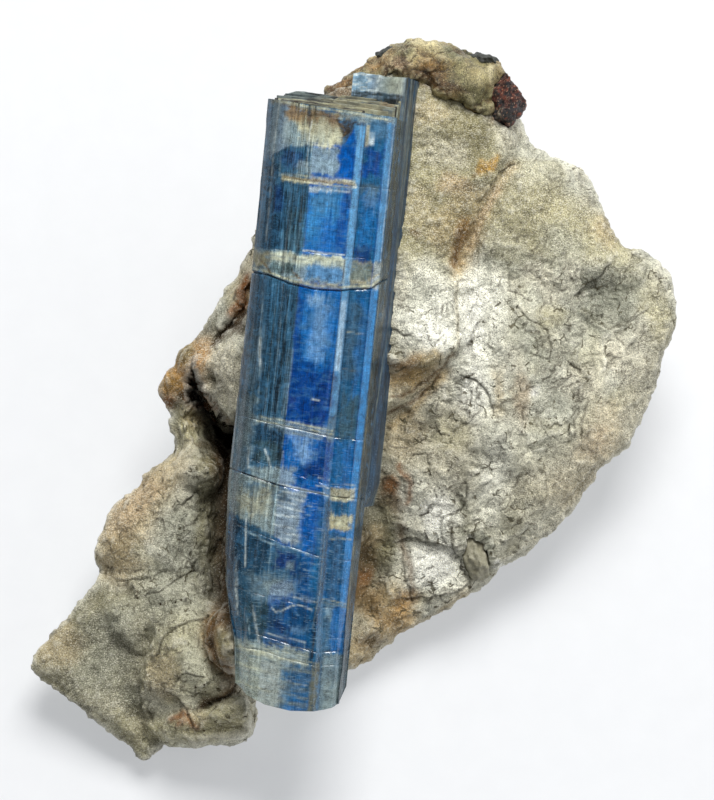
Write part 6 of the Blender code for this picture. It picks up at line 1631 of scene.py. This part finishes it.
def build_quartz():
    mesh = even_mesh(solid_copy("quartz_cap"), QUARTZ_VOXEL)
    pairs = edges_of(mesh)
    points = pushed(relaxed(face_points(mesh), pairs, 3, 0.5), QUARTZ_PUSHES)
    move(mesh, points)
    lumps = cells(shaken(points, 1.0, 0.35, 197), (3.3, 2.3, 3.0), 201)
    small = cells(shaken(points, 0.5, 0.15, 199), 0.6, 205)
    level = 1 - 0.75 * spot(points, *QUARTZ_FLAT)
    height = level * (0.60 * (0.5 - lumps[0]) + 0.10 * (small[2] - 0.5) + 0.14 * rough(points, 0.7, 207, 3))
    height += level * (0.20 * rough(points, 1.4, 209, 2) - 0.12 * ramp(lumps[1], 0.12, 0.0))
    points = points + face_normals(mesh) * height[:, None]
    points = grown_against(points, ["kyanite_crystal", "garnet", "black_grain_1", "black_grain_2"])
    move(mesh, points)
    tint = coat(QUARTZ["stone"], points)
    blend(tint, 0.7 * ramp(rough(points, 1.6, 213, 3), 0.0, 0.6), QUARTZ["gold"])
    dabbed(tint, QUARTZ, shaken(points, 0.8, 0.25, 211), QUARTZ_TINTS)
    blend(tint, 0.7 * level * ramp(lumps[1], 0.12, 0.0), QUARTZ["brown"])
    crack = 0.6 * ramp(small[1], 0.08, 0.0) * ramp(rough(points, 1.5, 217), -0.1, 0.5)
    paint(mesh, tint=tint, crack=crack, hollow=hollows(points, pairs, face_normals(mesh), 0.10))
    new_piece("quartz_knobs", mesh, "quartz_cap", quartz_material())


def broken_mesh(node, size, cut, seed, strength=1.0, slant=None):
    """The mesh of a small grain with broken facets about cut mm wide. A slant takes one corner off."""
    mesh = even_mesh(solid_copy(node), size)
    points = face_points(mesh)
    if slant:
        place, out = np.array(slant)
        beyond = np.maximum((points[:, :2] - place) @ out, 0)
        points[:, :2] -= beyond[:, None] * out
    points = relaxed(points, edges_of(mesh), 2, 0.5)
    move(mesh, points)
    far, gap, number = cells(points, cut, seed)
    height = cut * 0.34 * (0.35 - far) + cut * 0.34 * (number - 0.6) * ramp(gap, 0, 0.2)
    height += 0.12 * rough(points, cut * 0.5, seed + 5, 3)
    move(mesh, points + face_normals(mesh) * strength * height[:, None])
    return mesh


def build_garnet():
    mesh = broken_mesh("garnet", GARNET_VOXEL, 0.85, 301, slant=GARNET_SLANT)
    points = face_points(mesh)
    tint = coat(GARNET["wine"], points)
    dabbed(tint, GARNET, shaken(points, 0.6, 0.2, 303), GARNET_TINTS)
    paint(mesh, tint=tint, hollow=hollows(points, edges_of(mesh), face_normals(mesh), 0.07))
    new_piece("garnet_crystal", mesh, "garnet", garnet_material())


def build_grain(name, node, size, cut, material, seed, shift, stretch):
    """A small grain, stretched and moved a little so that its neighbours close round it."""
    mesh = broken_mesh(node, size, cut, seed, 0.8)
    points = face_points(mesh)
    middle = points.mean(axis=0)
    move(mesh, middle + (points - middle) * stretch + shift)
    new_piece(name, mesh, node, material)


# Floor, light and camera


def build_floor():
    mesh = bpy.data.meshes.new("floor")
    corners = box(-FLOOR_REACH, FLOOR_REACH, -FLOOR_REACH, FLOOR_REACH)
    mesh.from_pydata([(x, y, 0) for x, y in corners], [], [(0, 1, 2, 3)])
    floor = bpy.data.objects.new("floor", mesh)
    bpy.context.scene.collection.objects.link(floor)
    mesh.materials.append(floor_material())


def area_light(name, place, size, power, colour=(1, 1, 1)):
    """A soft square light that shines at the specimen. Place and size in metres."""
    light = bpy.data.lights.new(name, "AREA")
    light.shape = "SQUARE"
    light.size = size
    light.energy = power
    light.color = colour
    item = bpy.data.objects.new(name, light)
    bpy.context.scene.collection.objects.link(item)
    item.location = place
    item.rotation_euler = (Vector(place) - Vector(LIT_PLACE)).to_track_quat("Z", "Y").to_euler()


def build_lights():
    area_light("key", (0.08, 0.40, 0.62), 0.38, 7.0, (1.0, 0.99, 0.965))
    area_light("side", (0.62, 0.16, 0.26), 0.40, 0.7)


def build_studio():
    """Pale walls all round, darker above the face and to its left, where the crystal would mirror them."""
    world = bpy.data.worlds.new("studio")
    bpy.context.scene.world = world
    world.use_nodes = True
    tree = world.node_tree
    where = tree.nodes.new("ShaderNodeTexCoord").outputs["Generated"]
    towards = tree.nodes.new("ShaderNodeVectorMath")
    towards.operation = "DOT_PRODUCT"
    tree.links.new(where, towards.inputs[0])
    towards.inputs[1].default_value = Vector(DARK_STUDIO).normalized()
    strength = tree.nodes.new("ShaderNodeMapRange")
    tree.links.new(towards.outputs["Value"], strength.inputs["Value"])
    for name, value in (("From Min", 0.35), ("From Max", 0.90), ("To Min", 0.62), ("To Max", 0.05)):
        strength.inputs[name].default_value = value
    background = tree.nodes["Background"]
    background.inputs["Color"].default_value = (1.0, 0.99, 0.97, 1.0)
    tree.links.new(strength.outputs["Result"], background.inputs["Strength"])


def build_camera():
    camera = bpy.data.objects.new("camera", bpy.data.cameras.new("camera"))
    bpy.context.scene.collection.objects.link(camera)
    camera.data.lens = LENS
    camera.data.sensor_width = SENSOR
    camera.data.clip_end = 10.0
    camera.matrix_world = FACE @ Matrix.Translation((0, 0, PHOTO_HEIGHT * MM * LENS / SENSOR))
    bpy.context.scene.camera = camera


def main():
    bpy.context.scene.view_settings.view_transform = "Standard"
    build_camera()
    build_lights()
    build_studio()
    build_floor()
    build_rock(["kyanite_crystal", "quartz_cap", "garnet", "brown_grain", "black_grain_1", "black_grain_2"])
    blue = kyanite_material()
    build_blade(blue)
    build_rear_blade(blue)
    build_end_plates(blue)
    build_quartz()
    build_garnet()
    dark = grain_material("black grain", (0.006, 0.007, 0.006), (0.022, 0.025, 0.022), (0.10, 0.11, 0.09))
    build_grain("left_black_grain", "black_grain_1", BLACK_VOXEL, 0.6, dark, 311,
                (0.1, -0.45, -0.3), (1.2, 1.0, 1.3))
    build_grain("right_black_grain", "black_grain_2", BLACK_VOXEL, 0.6, dark, 321,
                (0.3, -0.6, -0.1), (1.1, 0.95, 1.2))
    brown = grain_material("brown grain", (0.11, 0.10, 0.065), (0.27, 0.255, 0.18), (0.44, 0.42, 0.33))
    build_grain("oval_brown_grain", "brown_grain", BROWN_VOXEL, 0.8, brown, 331,
                (-0.1, 0.1, -0.45), (1.0, 1.0, 1.0))


main()
